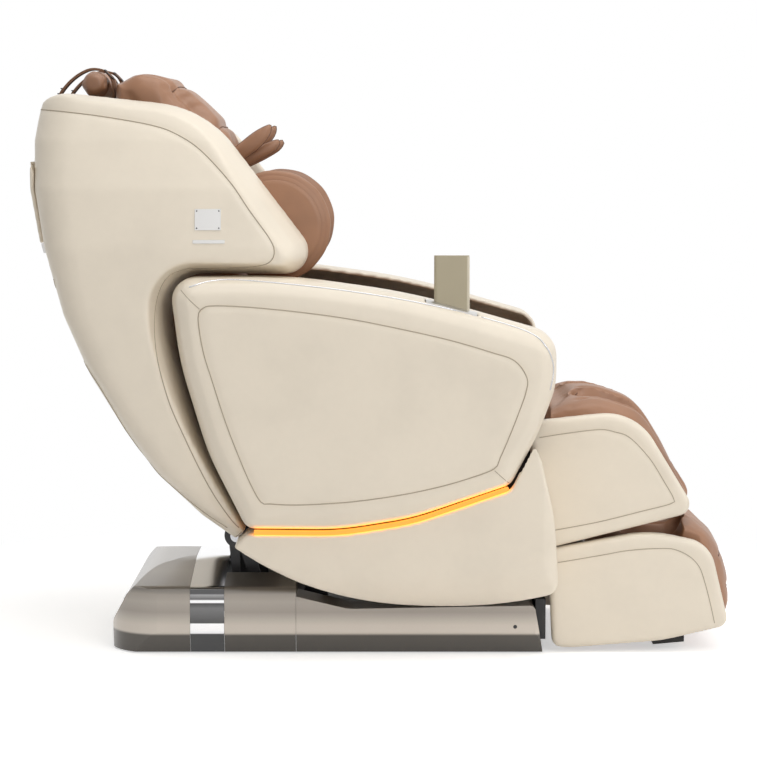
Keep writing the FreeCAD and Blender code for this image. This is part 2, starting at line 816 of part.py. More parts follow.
def pod_outer():
    """The pods' outermost Y, a bulge beyond their hinges."""
    return size("door_half") + size("pod_bulge")


def pod_skin():
    """The right arm pod's outside as one block."""
    outer = pod_outer()
    stations = [(-300, 0), (48 - outer, 0), (20 - outer, 10), (5 - outer, 32), (-outer, 72)]
    return slab(POD, stations)


def pod_shell():
    """The right arm pod: a crowned housing, open to the sitter, chamfered where it swings past the back."""
    outer = pod_outer()
    wall = size("shell_wall")
    shape = pod_skin()
    stations = [(-290, 2), (52 - outer, 2), (26 - outer, 14), (10 - outer, 54)]
    hollow = slab(inset(POD, wall), stations)
    dx, dy = size("door_x"), size("door_half")
    tray = shape.cut(hollow)
    boss = Part.makeCylinder(17, 80, Vector(dx, -dy, 600))
    rib = block((dx - 5, 4 - outer, 606), (dx + 5, -dy, 674)).common(shape)
    tray = tray.fuse(boss).fuse(rib)
    for x, z in PAD_POSTS:
        tray = tray.fuse(block((x - 8, 4 - outer, z - 8), (x + 8, PAD_BACK_Y - size("gap_small"), z + 8)))
    tray = tray.cut(door_pin(size("door_pin_r") + size("run_fit"), 50))
    notch = block((235, -362, 330), (345, -299, 490)).cut(side_prism(inset(POD, 14), -365, -290))
    tray = tray.cut(notch)
    swing = [(-500, -352, 0), (-500, -200, 0), (-292, -200, 0), (-292, -300.5, 0), (-425, -352, 0)]
    tray = tray.cut(plan_prism(swing, 200, 900))
    return one_solid(tray)


def remote_spot():
    return size("remote_x"), 15 - size("door_half")


def pocket_mouth(grow):
    """The pocket's outline seen from the side, wider towards the rear."""
    x, _ = remote_spot()
    return [(x - 58 - grow, 780, 0), (x + 62 + grow, 780, 0), (x + 46 + grow, 694 - grow, 10),
            (x - 42 - grow, 694 - grow, 10)]


def arm_pods():
    shape = pod_shell()
    feature("arm_pod_left", mirrored(shape))
    _, y = remote_spot()
    hole = side_prism(pocket_mouth(0.3), y - 23.3, y + 23.3)
    feature("arm_pod_right", one_solid(shape.cut(hole)))


def remote_pocket():
    """A bright tray let into the pod's top, which the remote stands in."""
    x, y = remote_spot()
    skin = pod_skin()
    tray = side_prism(pocket_mouth(0), y - 23, y + 23).common(skin)
    gap = size("gap_small")
    half = size("remote_wide") / 2 + gap
    deep = size("remote_thick") / 2 + gap
    low = size("remote_low_z")
    tray = tray.cut(block((x - half, y - deep, low - gap), (x + half, y + deep, 900)))
    feature("remote_pocket", one_solid(tray))


def remote_body():
    """A slim handset, padded up from its plan outline and rounded."""
    body = doc.addObject("PartDesign::Body", "remote_body_part")
    half = size("remote_wide") / 2
    deep = size("remote_thick") / 2
    points = [(-half, -deep), (half, -deep), (half, deep), (-half, deep)]
    sketch = profile_sketch(body, "remote_outline", "XY_Plane", points)
    pad = body.newObject("PartDesign::Pad", "remote_pad")
    pad.Profile = sketch
    pad.setExpression("Length", "Sizes.remote_tall")
    doc.recompute()
    fillet = body.newObject("PartDesign::Fillet", "remote_round")
    uprights = [f"Edge{i + 1}" for i,
                e in enumerate(pad.Shape.Edges) if abs(e.Vertexes[0].Z - e.Vertexes[1].Z) > 1]
    fillet.Base = (pad, uprights)
    fillet.Radius = 7
    doc.recompute()
    window = [(-half + 7, 30), (half - 7, 30), (half - 7, 136), (-half + 7, 136)]
    recess = profile_sketch(body, "screen_outline", "XZ_Plane", window)
    recess.AttachmentOffset = Placement(Vector(0, 0, -deep), Rotation())
    before = fillet.Shape.Volume
    screen = body.newObject("PartDesign::Pocket", "screen_recess")
    screen.Profile = recess
    screen.Length = 1.5
    screen.Reversed = True
    doc.recompute()
    if not screen.Shape.Volume < before - 1:
        raise ValueError("the screen recess cuts nothing")
    x, y = remote_spot()
    body.Placement = Placement(Vector(x, y, size("remote_low_z")), Rotation())
    node(body, "remote_body")


def remote_screen():
    """The glass in the recess on the sitter's side."""
    x, y = remote_spot()
    half = size("remote_wide") / 2 - 7.2
    deep = size("remote_thick") / 2
    low = size("remote_low_z")
    pane = block((x - half, y + deep - 1.4, low + 30.2), (x + half, y + deep, low + 135.8))
    feature("remote_screen", pane)


def arm_pads():
    """The inner pad of each door: a crowned cushion in the open side of the pod, with two channels."""
    pad = [(-255, 770, 40), (-150, 772, 600), (60, 734, 1200), (300, 660, 40), (250, 560, 60), (236, 470, 60),
           (205, 400, 30), (60, 338, 300), (-90, 318, 400), (-205, 318, 30), (-268, 480, 200)]
    sections = [(PAD_BACK_Y, 0), (-286, 0), (-268, 14), (-263, 42)]
    shape = slab(pad, sections)
    for rise in (0, 90):
        path = [(-240, 640 - rise, 0), (280, 560 - rise, 0), (280, 566 - rise, 0), (-240, 646 - rise, 0)]
        shape = shape.cut(side_prism(path, -270, -255))
    feature("arm_pad_right", one_solid(shape))
    feature("arm_pad_left", mirrored(one_solid(shape)))


# Back

BACK_LEVELS = [
    # height, rear, half width at the sides
    (222, -278, 340), (300, -380, 372), (384, -466, 392), (480, -536, 408), (600, -608, 418),
    (720, -660, 421),
    (860, -700, 420), (980, -722, 402), (1080, -726, 368), (1160, -716, 330), (1230, -690, 296),
]


def arc_through(first, middle, last, z):
    return Part.Arc(*(Vector(x, y, z) for x, y in (first, middle, last))).toShape()


def back_plan(rear, half, corner, z):
    """One plan section: sides that close in to the front, two round corners and a slightly bowed rear."""
    flat = half - corner
    bend = corner * math.sqrt(0.5)
    middle = (BACK_FRONT + rear + corner) / 2
    front = half - 60
    right = [(BACK_FRONT, -front), (middle, 8 - half), (rear + corner, -half),
             (rear + corner - bend, -flat - bend), (rear, -flat)]
    spots = right + [(rear - 8, 0)] + [(x, -y) for x, y in reversed(right)]
    edges = [arc_through(*spots[index:index + 3], z) for index in range(0, len(spots) - 2, 2)]
    edges.append(Part.LineSegment(Vector(BACK_FRONT, front, z), Vector(BACK_FRONT, -front, z)).toShape())
    return Part.Wire(edges)


def back_volume(grow):
    """The rounded body that wings, back shell and rear cover share, in plan sections up the back."""
    sections = []
    for z, rear, half in BACK_LEVELS:
        corner = 62 + max(0, (z - 700) * 0.08)
        sections.append(back_plan(rear - grow, half + grow, corner, z))
    return loft(sections)


BACK_FRONT = 60

# each corner of the wing seen from the side, and how much the side after it draws in towards the outer face
WING = [
    (-728, 1187, 80), (-371, 1149, 230), (-105, 799.5, 49), (-443, 803, 68), (-441, 690, 300),
    (-376, 455, 900),
    (-284, 275, 0), (-313, 242, 0), (-470, 250, 30), (-790, 700, 60),
]
WING_SHARES = [1, 1, 0.5, 0.65, 0.6, 0.3, 0, 0, 0, 0]
WING_RIM = [(0, 0), (50, 6), (104, 24), (139, 42), (174, 66)]


def wings():
    """Each wing is cut from the shared back volume, drawn in round its rim and hollow towards the back."""
    wall = size("shell_wall")
    inner = size("wing_inner_half")
    sections = []
    for out, draw in WING_RIM:
        sections.append(side_wire(inset(WING, [share * draw for share in WING_SHARES]), -inner - out))
    form = loft(sections).common(back_volume(0))
    draw = WING_RIM[-1][1]
    walls = side_prism(inset(WING, [share * draw + wall for share in WING_SHARES]), -500, -inner + 1)
    shape = one_solid(form.cut(walls.common(back_volume(-wall))))
    feature("wing_right", shape)
    feature("wing_left", mirrored(shape))


def back_shell():
    """The rear wall between the wings."""
    inner = size("wing_inner_half") - size("gap_small")
    wall = size("shell_wall")
    low, high = 300, 1128
    band = block((-900, -inner, low), (-330, inner, high))
    shape = back_volume(0).cut(back_volume(-wall)).common(band)
    feature("back_shell", one_solid(shape))


def rear_cover():
    """A separate panel over the upper back that hugs the body below it."""
    side = [(-800, 868, 0), (-800, 1040, 0), (-734, 1040, 0), (-718, 1002, 0), (-704, 920, 0), (-697, 868, 0)]
    panel = side_prism(side, -330, 330).common(back_volume(9)).cut(back_volume(0.4))
    feature("rear_cover", one_solid(panel))


def rear_trim():
    """Two bright bars across the back with a dark notch between them."""
    bars = []
    for low, high, grow in ((846, 866, 9), (790, 822, 5)):
        bar = block((-900, -300, low), (-640, 300, high)).common(back_volume(grow)).cut(back_volume(0.3))
        bars.append(one_solid(bar))
    feature("rear_trim", Part.makeCompound(bars))


def badge_plates():
    """A bare square plate and a slim bar on each wing."""
    skin = back_volume(1.8).cut(back_volume(0.2)).common(block((-400, -500, 850), (-310, -300, 950)))
    pieces = []
    for low, high in (((-385, 897), (-332, 940)), ((-389, 870), (-324, 877))):
        plate = side_prism([(low[0], low[1], 0), (high[0], low[1], 0), (high[0], high[1], 0),
                            (low[0], high[1], 0)],
                           -500, -300).common(skin)
        pieces.append(one_solid(plate))
        pieces.append(mirrored(one_solid(plate)))
    feature("badge_plates", Part.makeCompound(pieces))


def raked(shape):
    """Turns a form drawn upright, X towards the sitter and Z up the back, about the common shaft."""
    shape = shape.copy()
    spot = Vector(size("pivot_x"), 0, size("pivot_z"))
    turn = Rotation(Vector(0, 1, 0), -size("back_angle"))
    shape.transformShape(Placement(spot, turn).toMatrix())
    return shape


def back_frame():
    """Two rails on the common shaft, cross tubes and brackets that carry the shells."""
    half, wide, deep = size("back_rail_half"), size("back_rail_wide"), size("back_rail_deep")
    long = size("back_rail_long")
    pieces = []
    for side in (-1, 1):
        y = side * half
        pieces.append(block((-deep / 2, y - wide / 2, 30), (deep / 2, y + wide / 2, long)))
        boss = Part.makeCylinder(27, wide, Vector(0, y - wide / 2, 0), Vector(0, 1, 0))
        pieces.append(boss)
        pieces.append(block((-deep / 2, y - wide / 2, 0), (deep / 2, y + wide / 2, 40)))
        for z in (260, 520, 780):
            low, high = sorted((side * (half - 4), side * (size("wing_inner_half") - 0.6)))
            pieces.append(block((-14, low, z), (14, high, z + 40)))
    for z, front in ((110, 8), (700, 8), (long - 40, deep / 2)):
        pieces.append(block((-16, -half, z), (front, half, z + 28)))
    for side in (-1, 1):
        y = RECLINE_Y + side * 14.5
        pieces.append(side_prism(lug_corners(RECLINE_HEAD, 114, 12), y - 6, y + 6))
    pieces.append(pin_across(RECLINE_HEAD, RECLINE_Y, HEAD_PIN_R))
    shape = pieces[0].multiFuse(pieces[1:])
    bore = Part.makeCylinder(size("pivot_r") + size("run_fit"), 600, Vector(0, -300, 0), Vector(0, 1, 0))
    feature("back_frame", raked(shape.cut(bore).removeSplitter()))


def lead_screw():
    """The screw that drives the massage carriage, between two cross tubes, with its gear motor."""
    long = 700 - 138.6
    shape = Part.makeCylinder(size("screw_r"), long, Vector(-4, 0, 138.3))
    motor = Part.makeCylinder(22, 60, Vector(-4, 0, 48)).fuse(Part.makeCylinder(26, 10, Vector(-4, 0, 99.7)))
    bolts = [raked(shape), raked(motor)]
    feature("lead_screw", Part.makeCompound(bolts))


def massage_housing():
    """The carriage block with its nut, gear casing and the shaft for the arms."""
    half, deep, tall = size("massage_half"), size("massage_deep"), size("massage_tall")
    start = size("massage_start")
    pieces = [block((-deep / 2, -half + 8, start), (deep / 2 - 12, half - 8, start + tall))]
    for side in (-1, 1):
        for z in (start + 6, start + tall - 36):
            low, high = sorted((side * (half - 9), side * (half + 0.6)))
            pieces.append(block((-15, low, z), (15, high, z + 30)))
    for y in (-118, 118):
        cheek = [(deep / 2 - 14, start + 20, 0), (deep / 2 - 14, start + tall - 20, 0),
                 (deep / 2 + 18, start + tall / 2 + 15, 0), (deep / 2 + 18, start + tall / 2 - 15, 0)]
        pieces.append(side_prism(cheek, y - 5, y + 5))
    motor = Part.makeCylinder(24, 90, Vector(-4, 40, start - 30)).common(block((-100, 0, 0),
                                                                               (100, 200, 9000)))
    pieces.append(motor)
    shape = pieces[0].multiFuse(pieces[1:])
    screw = Part.makeCylinder(size("screw_r") + 0.5, 400, Vector(-4, 0, start - 100))
    bore = Part.makeCylinder(8, 600, Vector(deep / 2 + 6, -300, start + tall / 2), Vector(0, 1, 0))
    shape = shape.cut(screw).cut(bore)
    feature("massage_housing", raked(one_solid(shape.removeSplitter())))


def arm_pivot():
    """Where the massage arms turn, in the back's own frame."""
    return size("massage_deep") / 2 + 6, size("massage_start") + size("massage_tall") / 2


def massage_arms():
    """A shaft with two pairs of bent arms and the axles of the rollers."""
    px, pz = arm_pivot()
    reach, rise = size("roller_reach"), size("roller_rise")
    x = px + reach - 40
    pieces = [Part.makeCylinder(8 - size("run_fit"), 262, Vector(px, -131, pz), Vector(0, 1, 0))]
    for side in (-1, 1):
        y = side * size("roller_half")
        for turn in (-1, 1):
            arm = [(px - 14, pz - turn * 14, 0), (px + 18, pz - turn * 16, 0),
                   (x + 12, pz + turn * (rise - 8), 0),
                   (x + 8, pz + turn * (rise + 12), 0), (x - 12, pz + turn * (rise + 10), 0),
                   (px - 14, pz + turn * 16, 0)]
            pieces.append(side_prism(arm, y - 4, y + 4))
    for turn in (-1, 1):
        axle = Part.makeCylinder(size("roller_axle_r"), 2 * size("roller_half") + 80,
                                 Vector(x, -size("roller_half") - 40, pz + turn * rise), Vector(0, 1, 0))
        pieces.append(axle)
    shape = pieces[0].multiFuse(pieces[1:])
    feature("massage_arms", raked(one_solid(shape.removeSplitter())))


def rollers():
    """Each pair of rollers spins on one axle, outside the arms."""
    px, pz = arm_pivot()
    x = px + size("roller_reach") - 40
    bore = size("roller_axle_r") + size("run_fit")
    wide = size("roller_wide")
    r = size("roller_r")
    for turn, name in ((1, "upper_rollers"), (-1, "lower_rollers")):
        z = pz + turn * size("roller_rise")
        pieces = []
        for side in (-1, 1):
            y = side * (size("roller_half") + 4.5 + wide / 2)
            body = Part.makeCylinder(r, wide, Vector(x, y - wide / 2, z), Vector(0, 1, 0))
            body = body.makeChamfer(6, [e for e in body.Edges if e.Curve.TypeId == "Part::GeomCircle"])
            body = body.cut(Part.makeCylinder(bore, 2 * wide, Vector(x, y - wide, z), Vector(0, 1, 0)))
            pieces.append(raked(body))
        feature(name, Part.makeCompound(pieces))


def back_cushion():
    """A tall crowned pad with rolled side bolsters, and channels across it."""
    half = 250
    near, far = size("back_pad_near"), size("back_pad_far")
    back = size("back_rail_deep") / 2 + size("gap_small")
    across = [
        (near, -190, 8), (back, -200, 0), (back, -half, 20), (far + 30, -half, 26), (far + 26, -188, 26),
        (far - 4, -150, 60),
        (far, 0, 900), (far - 4, 150, 60), (far + 26, 188, 26), (far + 30, half, 26), (back, half, 20),
        (back, 200, 0),
        (near, 190, 8),
    ]
    draws = [0, 0, 8, 14, 14, 14, 14, 14, 14, 8, 0, 0, 0]
    wires = []
    for z, share in ((170, 1), (184, 0.3), (214, 0), (590, 0), (624, 0.3), (640, 1)):
        wires.append(plan_wire(inset(across, [max(part * share, 0.01) for part in draws]), z))
    pad = loft(wires)
    for z in (260, 350, 440, 530):
        pad = pad.cut(Part.makeCylinder(8, 300, Vector(far + 4, -150, z), Vector(0, 1, 0)))
    pad = raked(one_solid(pad))
    x, z = SHOULDER
    room = Part.makeCylinder(SHOULDER_R + 2, 600, Vector(x, -300, z), Vector(0, 1, 0))
    feature("back_cushion", one_solid(pad.cut(room)))


SHOULDER = (-228, 900)
SHOULDER_R = 118


def head_form():
    """The tall head and neck cushion, cut flat where it lies on the back frame."""
    side = [(-640, 1010, 20), (-574, 1150, 40), (-574, 1206, 24), (-522, 1238, 34), (-470, 1225, 40),
            (-352, 1118, 30), (-298, 1046, 22), (-372, 950, 30), (-440, 905, 10), (-560, 930, 10)]
    sections = [(-196, 20), (-184, 6), (-150, 0), (150, 0), (184, 6), (196, 20)]
    front = size("back_rail_deep") / 2 + size("gap_small")
    behind = raked(block((-300, -300, 500), (front, 300, 1000)))
    return one_solid(slab(side, sections).cut(behind))


def head_cushion():
    feature("head_cushion", head_form())


def head_pillow():
    """A soft roll behind the head cushion."""
    side = arc_corners((-615, 1200), 31, 0, 360, 6)
    sections = [(-168, 14), (-156, 4), (-130, 0), (130, 0), (156, 4), (168, 14)]
    feature("head_pillow", slab(side, sections))


def pillow_straps():
    """Two flat straps from the back's top edge over the roll, each with a buckle bar."""
    loop = [(-714, 1140, 10), (-662, 1234.4, 38), (-574.3, 1234.4, 34), (-574.3, 1130, 10)]
    pieces = []
    for y in (-120, 84):
        ring = side_prism(loop, y, y + 36).cut(side_prism(inset(loop, 3), y - 1, y + 37))
        ring = ring.common(block((-700, -300, 1165), (-500, 300, 1300)))
        pieces.append(one_solid(ring))
    feature("pillow_straps", Part.makeCompound(pieces))


def shoulder_pads():
    """A round pad inside each wing: a domed face and two piping rims."""
    outer = size("wing_inner_half") - size("gap_small")
    r = SHOULDER_R
    section = [(outer, 0), (outer, r - 4), (outer - 12, r), (outer - 24, r - 4), (outer - 44, r - 22),
               (outer - 55, r - 70), (outer - 57, 0)]
    x, z = SHOULDER
    points = [Vector(x + radius, -y, z) for y, radius in section]
    face = Part.Face(Part.makePolygon(points + points[:1]))
    disc = face.revolve(Vector(x, 0, z), Vector(0, 1, 0), 360)
    feature("shoulder_pads", both_sides(one_solid(disc)))


def ear_pads():
    """Two petal shaped flaps on each side of the neck."""
    upper = [(-330, 1048, 0), (-292, 1090, 26), (-238, 1118, 0), (-242, 1090, 0), (-270, 1058, 26),
             (-310, 1032, 0)]
    lower = [(-320, 1040, 0), (-262, 1072, 26), (-219, 1086, 0), (-226, 1060, 0), (-262, 1038, 26),
             (-312, 1018, 0)]
    head = head_form()
    pieces = []
    for petal, middle in ((upper, -150), (lower, -128)):
        sections = [(middle - 44, 9), (middle - 34, 1), (middle + 34, 1), (middle + 44, 9)]
        flap = one_solid(slab(petal, sections).cut(head))
        if petal is lower:
            flap = one_solid(flap.cut(slab(inset(upper, -0.5), [(-200, 0), (-100, 0)])))
        pieces += [flap, mirrored(flap)]
    feature("ear_pads", Part.makeCompound(pieces))


# Leg section

CALF = [(305, 455, 40), (322, 493, 36), (440, 506, 300), (531, 514, 118), (661, 300, 26), (345, 221, 14)]
FOOT = [(348, 221, 12), (560, 260, 250), (690, 233, 70), (732, 58, 22), (590, 25, 400), (400, 10, 200),
        (357, 12, 20)]
PANEL_SECTIONS = [(0, 10), (4, 2.5), (11, 0), (30, 0)]


CALF_Y = 118
CALF_R = 62


def leg_panels(label, corners):
    half = size("leg_half")
    scale = size("leg_panel_thick") / 30
    panel = slab(corners, [(-half + y * scale, amount) for y, amount in PANEL_SECTIONS])
    feature(label, both_sides(panel))


def calf_cushion():
    """A crowned cushion with a trough for each calf."""
    half = size("leg_half") - size("leg_panel_thick") - size("gap_small")
    side = [(346, 474, 18), (350, 530, 26), (446, 546, 120), (546, 512, 110), (676, 316, 26), (630, 300, 16),
            (500, 338, 200), (400, 428, 80)]
    draws = [0, 10, 14, 14, 8, 4, 0, 0]
    pad = slab(side, crown(half, draws))
    along = Vector(0.577, 0, -0.817)
    start = Vector(460, 0, 543)
    out = Vector(-along.z, 0, along.x)
    top, foot = start - along * 120, start + along * 300
    mouth = [(spot.x, spot.z, 0) for spot in (top, foot, foot + out * 120, top + out * 120)]
    for y in (-CALF_Y, CALF_Y):
        pad = pad.cut(Part.makeCylinder(CALF_R, 420, Vector(top.x, y, top.z), along))
        pad = pad.cut(side_prism(mouth, y - CALF_R, y + CALF_R))
    feature("calf_cushion", one_solid(pad))


def crown(half, draws):
    """Stations across a cushion, whose sides draw in by a share of the amounts given."""
    stations = [(-half, 2), (-half + 12, 0.8), (-half + 40, 0.1), (half - 40, 0.1), (half - 12, 0.8),
                (half, 2)]
    return [(y, [max(part * share, 0.01) for part in draws]) for y, share in stations]


FOOT_AXIS = Vector(0.208, 0, -0.978)
ROD_SPOT = Vector(430, 215, 190)


def rod_along(start, stop, radius, side):
    spot = Vector(ROD_SPOT.x, side * ROD_SPOT.y, ROD_SPOT.z) + FOOT_AXIS * start
    return Part.makeCylinder(radius, stop - start, spot, FOOT_AXIS)


def calf_frame():
    """Side plates on the knee shaft, cross tubes, and the tubes that the foot rods run in."""
    kx, kz = size("knee_x"), size("knee_z")
    plate = [(kx - 22, kz + 8, 18), (kx, kz + 24, 18), (kx + 24, kz + 4, 18), (396, 404, 0), (492, 324, 0),
             (566, 300, 0), (540, 276, 0), (372, 238, 0), (344, 330, 0)]
    inner = size("leg_half") - size("leg_panel_thick")
    plate_out = inner - size("leg_plate_gap")
    plate_in = plate_out - size("leg_plate_thick")
    pieces = []
    for side in (-1, 1):
        low, high = sorted((side * plate_in, side * plate_out))
        pieces.append(side_prism(plate, low, high))
        for x, z in ((370, 400), (372, 262), (500, 292)):
            low, high = sorted((side * (plate_out - 1), side * (inner - size("gap_small"))))
            pieces.append(block((x - 9, low, z - 9), (x + 9, high, z + 9)))
        pieces.append(rod_along(-225, -55, 15, side))
    for x, z in ((402, 378), (378, 252), (498, 290)):
        pieces.append(block((x - 13, -plate_in - 1, z - 13), (x + 13, plate_in + 1, z + 13)))
    for side in (-1, 1):
        y = side * 14.5
        lug = [(394, 389, 0), (LEG_HEAD[0] - 6, LEG_HEAD[1] + 14, 0), (LEG_HEAD[0] - 8, LEG_HEAD[1] - 14, 0),
               (394, 367, 0)]
        pieces.append(side_prism(lug, y - 6, y + 6))
    pieces.append(pin_across(LEG_HEAD, 0, HEAD_PIN_R))
    shape = pieces[0].multiFuse(pieces[1:])
    for side in (-1, 1):
        shape = shape.cut(rod_along(-240, -40, size("foot_rod_r") + size("run_fit"), side))
    bore = Part.makeCylinder(size("knee_r") + size("run_fit"), 600, Vector(kx, -300, kz), Vector(0, 1, 0))
    feature("calf_frame", one_solid(shape.cut(bore).removeSplitter()))


def foot_cushion():
    """The foot section's body with a well for each foot."""
    half = size("leg_half") - size("leg_panel_thick") - size("gap_small")
    side = [(372, 30, 0), (370, 205, 0), (560, 244, 100), (622, 244, 0), (640, 296, 22), (704, 258, 70),
            (733, 160, 120), (746.5, 92, 40), (722, 52, 22), (560, 30, 200)]
    draws = [0, 4, 4, 4, 8, 10, 10, 10, 4, 0]
    pad = slab(side, crown(half, draws))
    well = [(548, 340, 0), (624, 340, 0), (682, 130, 40), (678, 68, 0), (500, 58, 0), (500, 120, 40)]
    for side in (-1, 1):
        low, high = sorted((side * 60, side * 178))
        pad = pad.cut(side_prism(well, low, high))
        pad = pad.cut(rod_along(-100, 100 + size("gap_small"), size("foot_rod_r") + size("gap_small"), side))
    feature("foot_cushion", one_solid(pad))


def foot_rods():
    rods = [rod_along(-208, 100, size("foot_rod_r"), side) for side in (-1, 1)]
    feature("foot_rods", Part.makeCompound(rods))


def foot_pads():
    """Two dark bumpers under the sole."""
    pad = [(574, 12, 0), (640, 18, 0), (640, 60, 0), (574, 60, 0)]
    outer = size("leg_half") - size("leg_panel_thick") - 10
    strip = one_solid(side_prism(pad, -outer, 95 - outer).cut(doc.getObject("foot_cushion").Shape))
    strip.translate(Vector(0, 0, -size("gap_small")))
    feature("foot_pads", both_sides(strip))


# Actuators

def actuator(label, foot, head, y, stroke, motor_over=False):
    """A tube with its gear motor turns on the foot's pin. Its rod's eye goes round the head's pin."""
    along = Vector(head[0] - foot[0], 0, head[1] - foot[1])
    long = along.Length
    along.normalize()
    start = Vector(foot[0], y, foot[1])
    across = Vector(0, 1, 0)
    down = along.cross(across)
    if (down.z > 0) != motor_over:
        down = -down
    fit = size("run_fit")
    rod_r = 8
    tube_end = long - 28
    inside = stroke + 34
    eye = Part.makeCylinder(13, 2 * EYE_HALF, start - across * EYE_HALF, across)
    neck = Part.makeCylinder(7, 30, start, along)
    tube = Part.makeCylinder(14, tube_end - 27, start + along * 27, along)
    gear_corners = [start + along * 41, start + along * 63, start + along * 63 + down * 36,
                    start + along * 41 + down * 36]
    gear_corners = [spot - across * 10 for spot in gear_corners]
    gear = Part.Face(Part.makePolygon(gear_corners + gear_corners[:1])).extrude(across * 20)
    motor = Part.makeCylinder(17, 62, start + along * 36 + down * 34, along)
    body = eye.multiFuse([neck, tube, gear, motor])
    body = body.cut(Part.makeCylinder(FOOT_PIN_R + fit, 60, start - across * 30, across))
    body = body.cut(Part.makeCylinder(rod_r + fit, inside + 40, start + along * (tube_end - inside), along))
    rod = Part.makeCylinder(rod_r, inside + 10, start + along * (tube_end - inside + 2), along)
    end = start + along * long
    ring = Part.makeCylinder(22, 12, end - across * 6, across)
    rod = rod.fuse(ring).cut(Part.makeCylinder(16, 60, end - across * 30, across))
    feature(label + "_actuator", one_solid(body.removeSplitter()))
    feature(label + "_rod", one_solid(rod.removeSplitter()))


def recline_head():
    """The recline lug's place in the chair's frame."""
    angle = math.radians(size("back_angle"))
    n, rise = RECLINE_HEAD
    return (size("pivot_x") + n * math.cos(angle) - rise * math.sin(angle),
            size("pivot_z") + n * math.sin(angle) + rise * math.cos(angle))


def actuators():
    actuator("tilt", TILT_FOOT, TILT_HEAD, 0, 46, motor_over=True)
    actuator("recline", RECLINE_FOOT, recline_head(), RECLINE_Y, 40)
    actuator("leg", LEG_FOOT, LEG_HEAD, 0, 80)


def build():
    base_covers()
    power_inlet()
    power_rocker()
    base_frame()
    slide_rails()
    levelling_feet()
    front_skirt()
    transport_wheels()
    seat_carriage()
    pivot_shaft()
    seat_hull()
    led_strips()
    seat_frame()
    knee_shaft()
    seat_cushion()
    control_box()
    air_pump()
    door_pillars()
    arm_pods()
    remote_pocket()
    remote_body()
    remote_screen()
    arm_pads()
    wings()
    back_shell()
    rear_cover()
    rear_trim()
    badge_plates()
    back_frame()
    lead_screw()
    massage_housing()
    massage_arms()
    rollers()
    back_cushion()
    head_cushion()
    head_pillow()
    pillow_straps()
    shoulder_pads()
    ear_pads()
    leg_panels("calf_panels", CALF)
    leg_panels("foot_panels", FOOT)
    calf_cushion()
    calf_frame()
    foot_cushion()
    foot_rods()
    foot_pads()
    actuators()


def check():
    """Every object is sound before anything is written."""
    doc.recompute()
    for thing in doc.Objects:
        if "Invalid" in thing.State or "Error" in thing.State:
            raise ValueError(f"{thing.Label} failed: {thing.State}")
    for thing in NODES:
        if thing.Shape.isNull() or not thing.Shape.isValid():
            raise ValueError(f"{thing.Label} has no sound shape")


def write():
    os.makedirs("parts", exist_ok=True)
    for thing in NODES:
        thing.Shape.exportStep(f"parts/{thing.Label}.step")
    print(len(NODES), "sub-parts written")


build()
check()
write()
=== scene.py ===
import json
import math

import bpy
import numpy as np
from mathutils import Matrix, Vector
from mathutils.bvhtree import BVHTree


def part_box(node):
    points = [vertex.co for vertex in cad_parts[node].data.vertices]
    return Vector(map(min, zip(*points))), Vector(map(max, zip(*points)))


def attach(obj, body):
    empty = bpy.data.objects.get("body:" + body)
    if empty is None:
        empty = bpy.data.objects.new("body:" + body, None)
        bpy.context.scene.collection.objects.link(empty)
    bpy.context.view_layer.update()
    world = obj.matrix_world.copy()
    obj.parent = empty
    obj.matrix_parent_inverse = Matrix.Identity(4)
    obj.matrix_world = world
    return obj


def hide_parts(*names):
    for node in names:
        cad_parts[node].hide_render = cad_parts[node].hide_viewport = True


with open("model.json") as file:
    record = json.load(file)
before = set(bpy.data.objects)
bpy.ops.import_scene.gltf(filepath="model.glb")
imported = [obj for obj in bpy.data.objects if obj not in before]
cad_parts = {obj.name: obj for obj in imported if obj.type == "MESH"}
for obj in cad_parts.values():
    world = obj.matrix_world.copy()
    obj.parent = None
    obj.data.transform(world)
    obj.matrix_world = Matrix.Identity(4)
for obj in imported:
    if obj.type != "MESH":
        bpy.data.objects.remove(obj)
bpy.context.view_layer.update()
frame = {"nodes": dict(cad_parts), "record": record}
NODES = frame["nodes"]
SCENE = bpy.context.scene
SCENE.view_settings.view_transform = "Standard"

# Camera and stage

CAMERA_PLACE = (-0.010, -6.0, 1.060)
CAMERA_PITCH = 4.774
CAMERA_LENS = 130.1
WORLD_LIGHT = 0.42
FLOOR_LIFT = 0.52


def add_camera():
    data = bpy.data.cameras.new("camera")
    data.lens = CAMERA_LENS
    data.sensor_width = 36
    data.clip_end = 200
    camera = bpy.data.objects.new("camera", data)
    camera.location = CAMERA_PLACE
    camera.rotation_euler = (math.radians(90 - CAMERA_PITCH), 0, 0)
    SCENE.collection.objects.link(camera)
    SCENE.camera = camera


def add_area(name, place, target, size, power, colour=(1, 1, 1)):
    data = bpy.data.lights.new(name, "AREA")
    data.shape = "RECTANGLE"
    data.size, data.size_y = size
    data.energy = power
    data.color = colour
    lamp = bpy.data.objects.new(name, data)
    lamp.location = place
    lamp.rotation_euler = (Vector(target) - Vector(place)).to_track_quat("-Z", "Y").to_euler()
    SCENE.collection.objects.link(lamp)


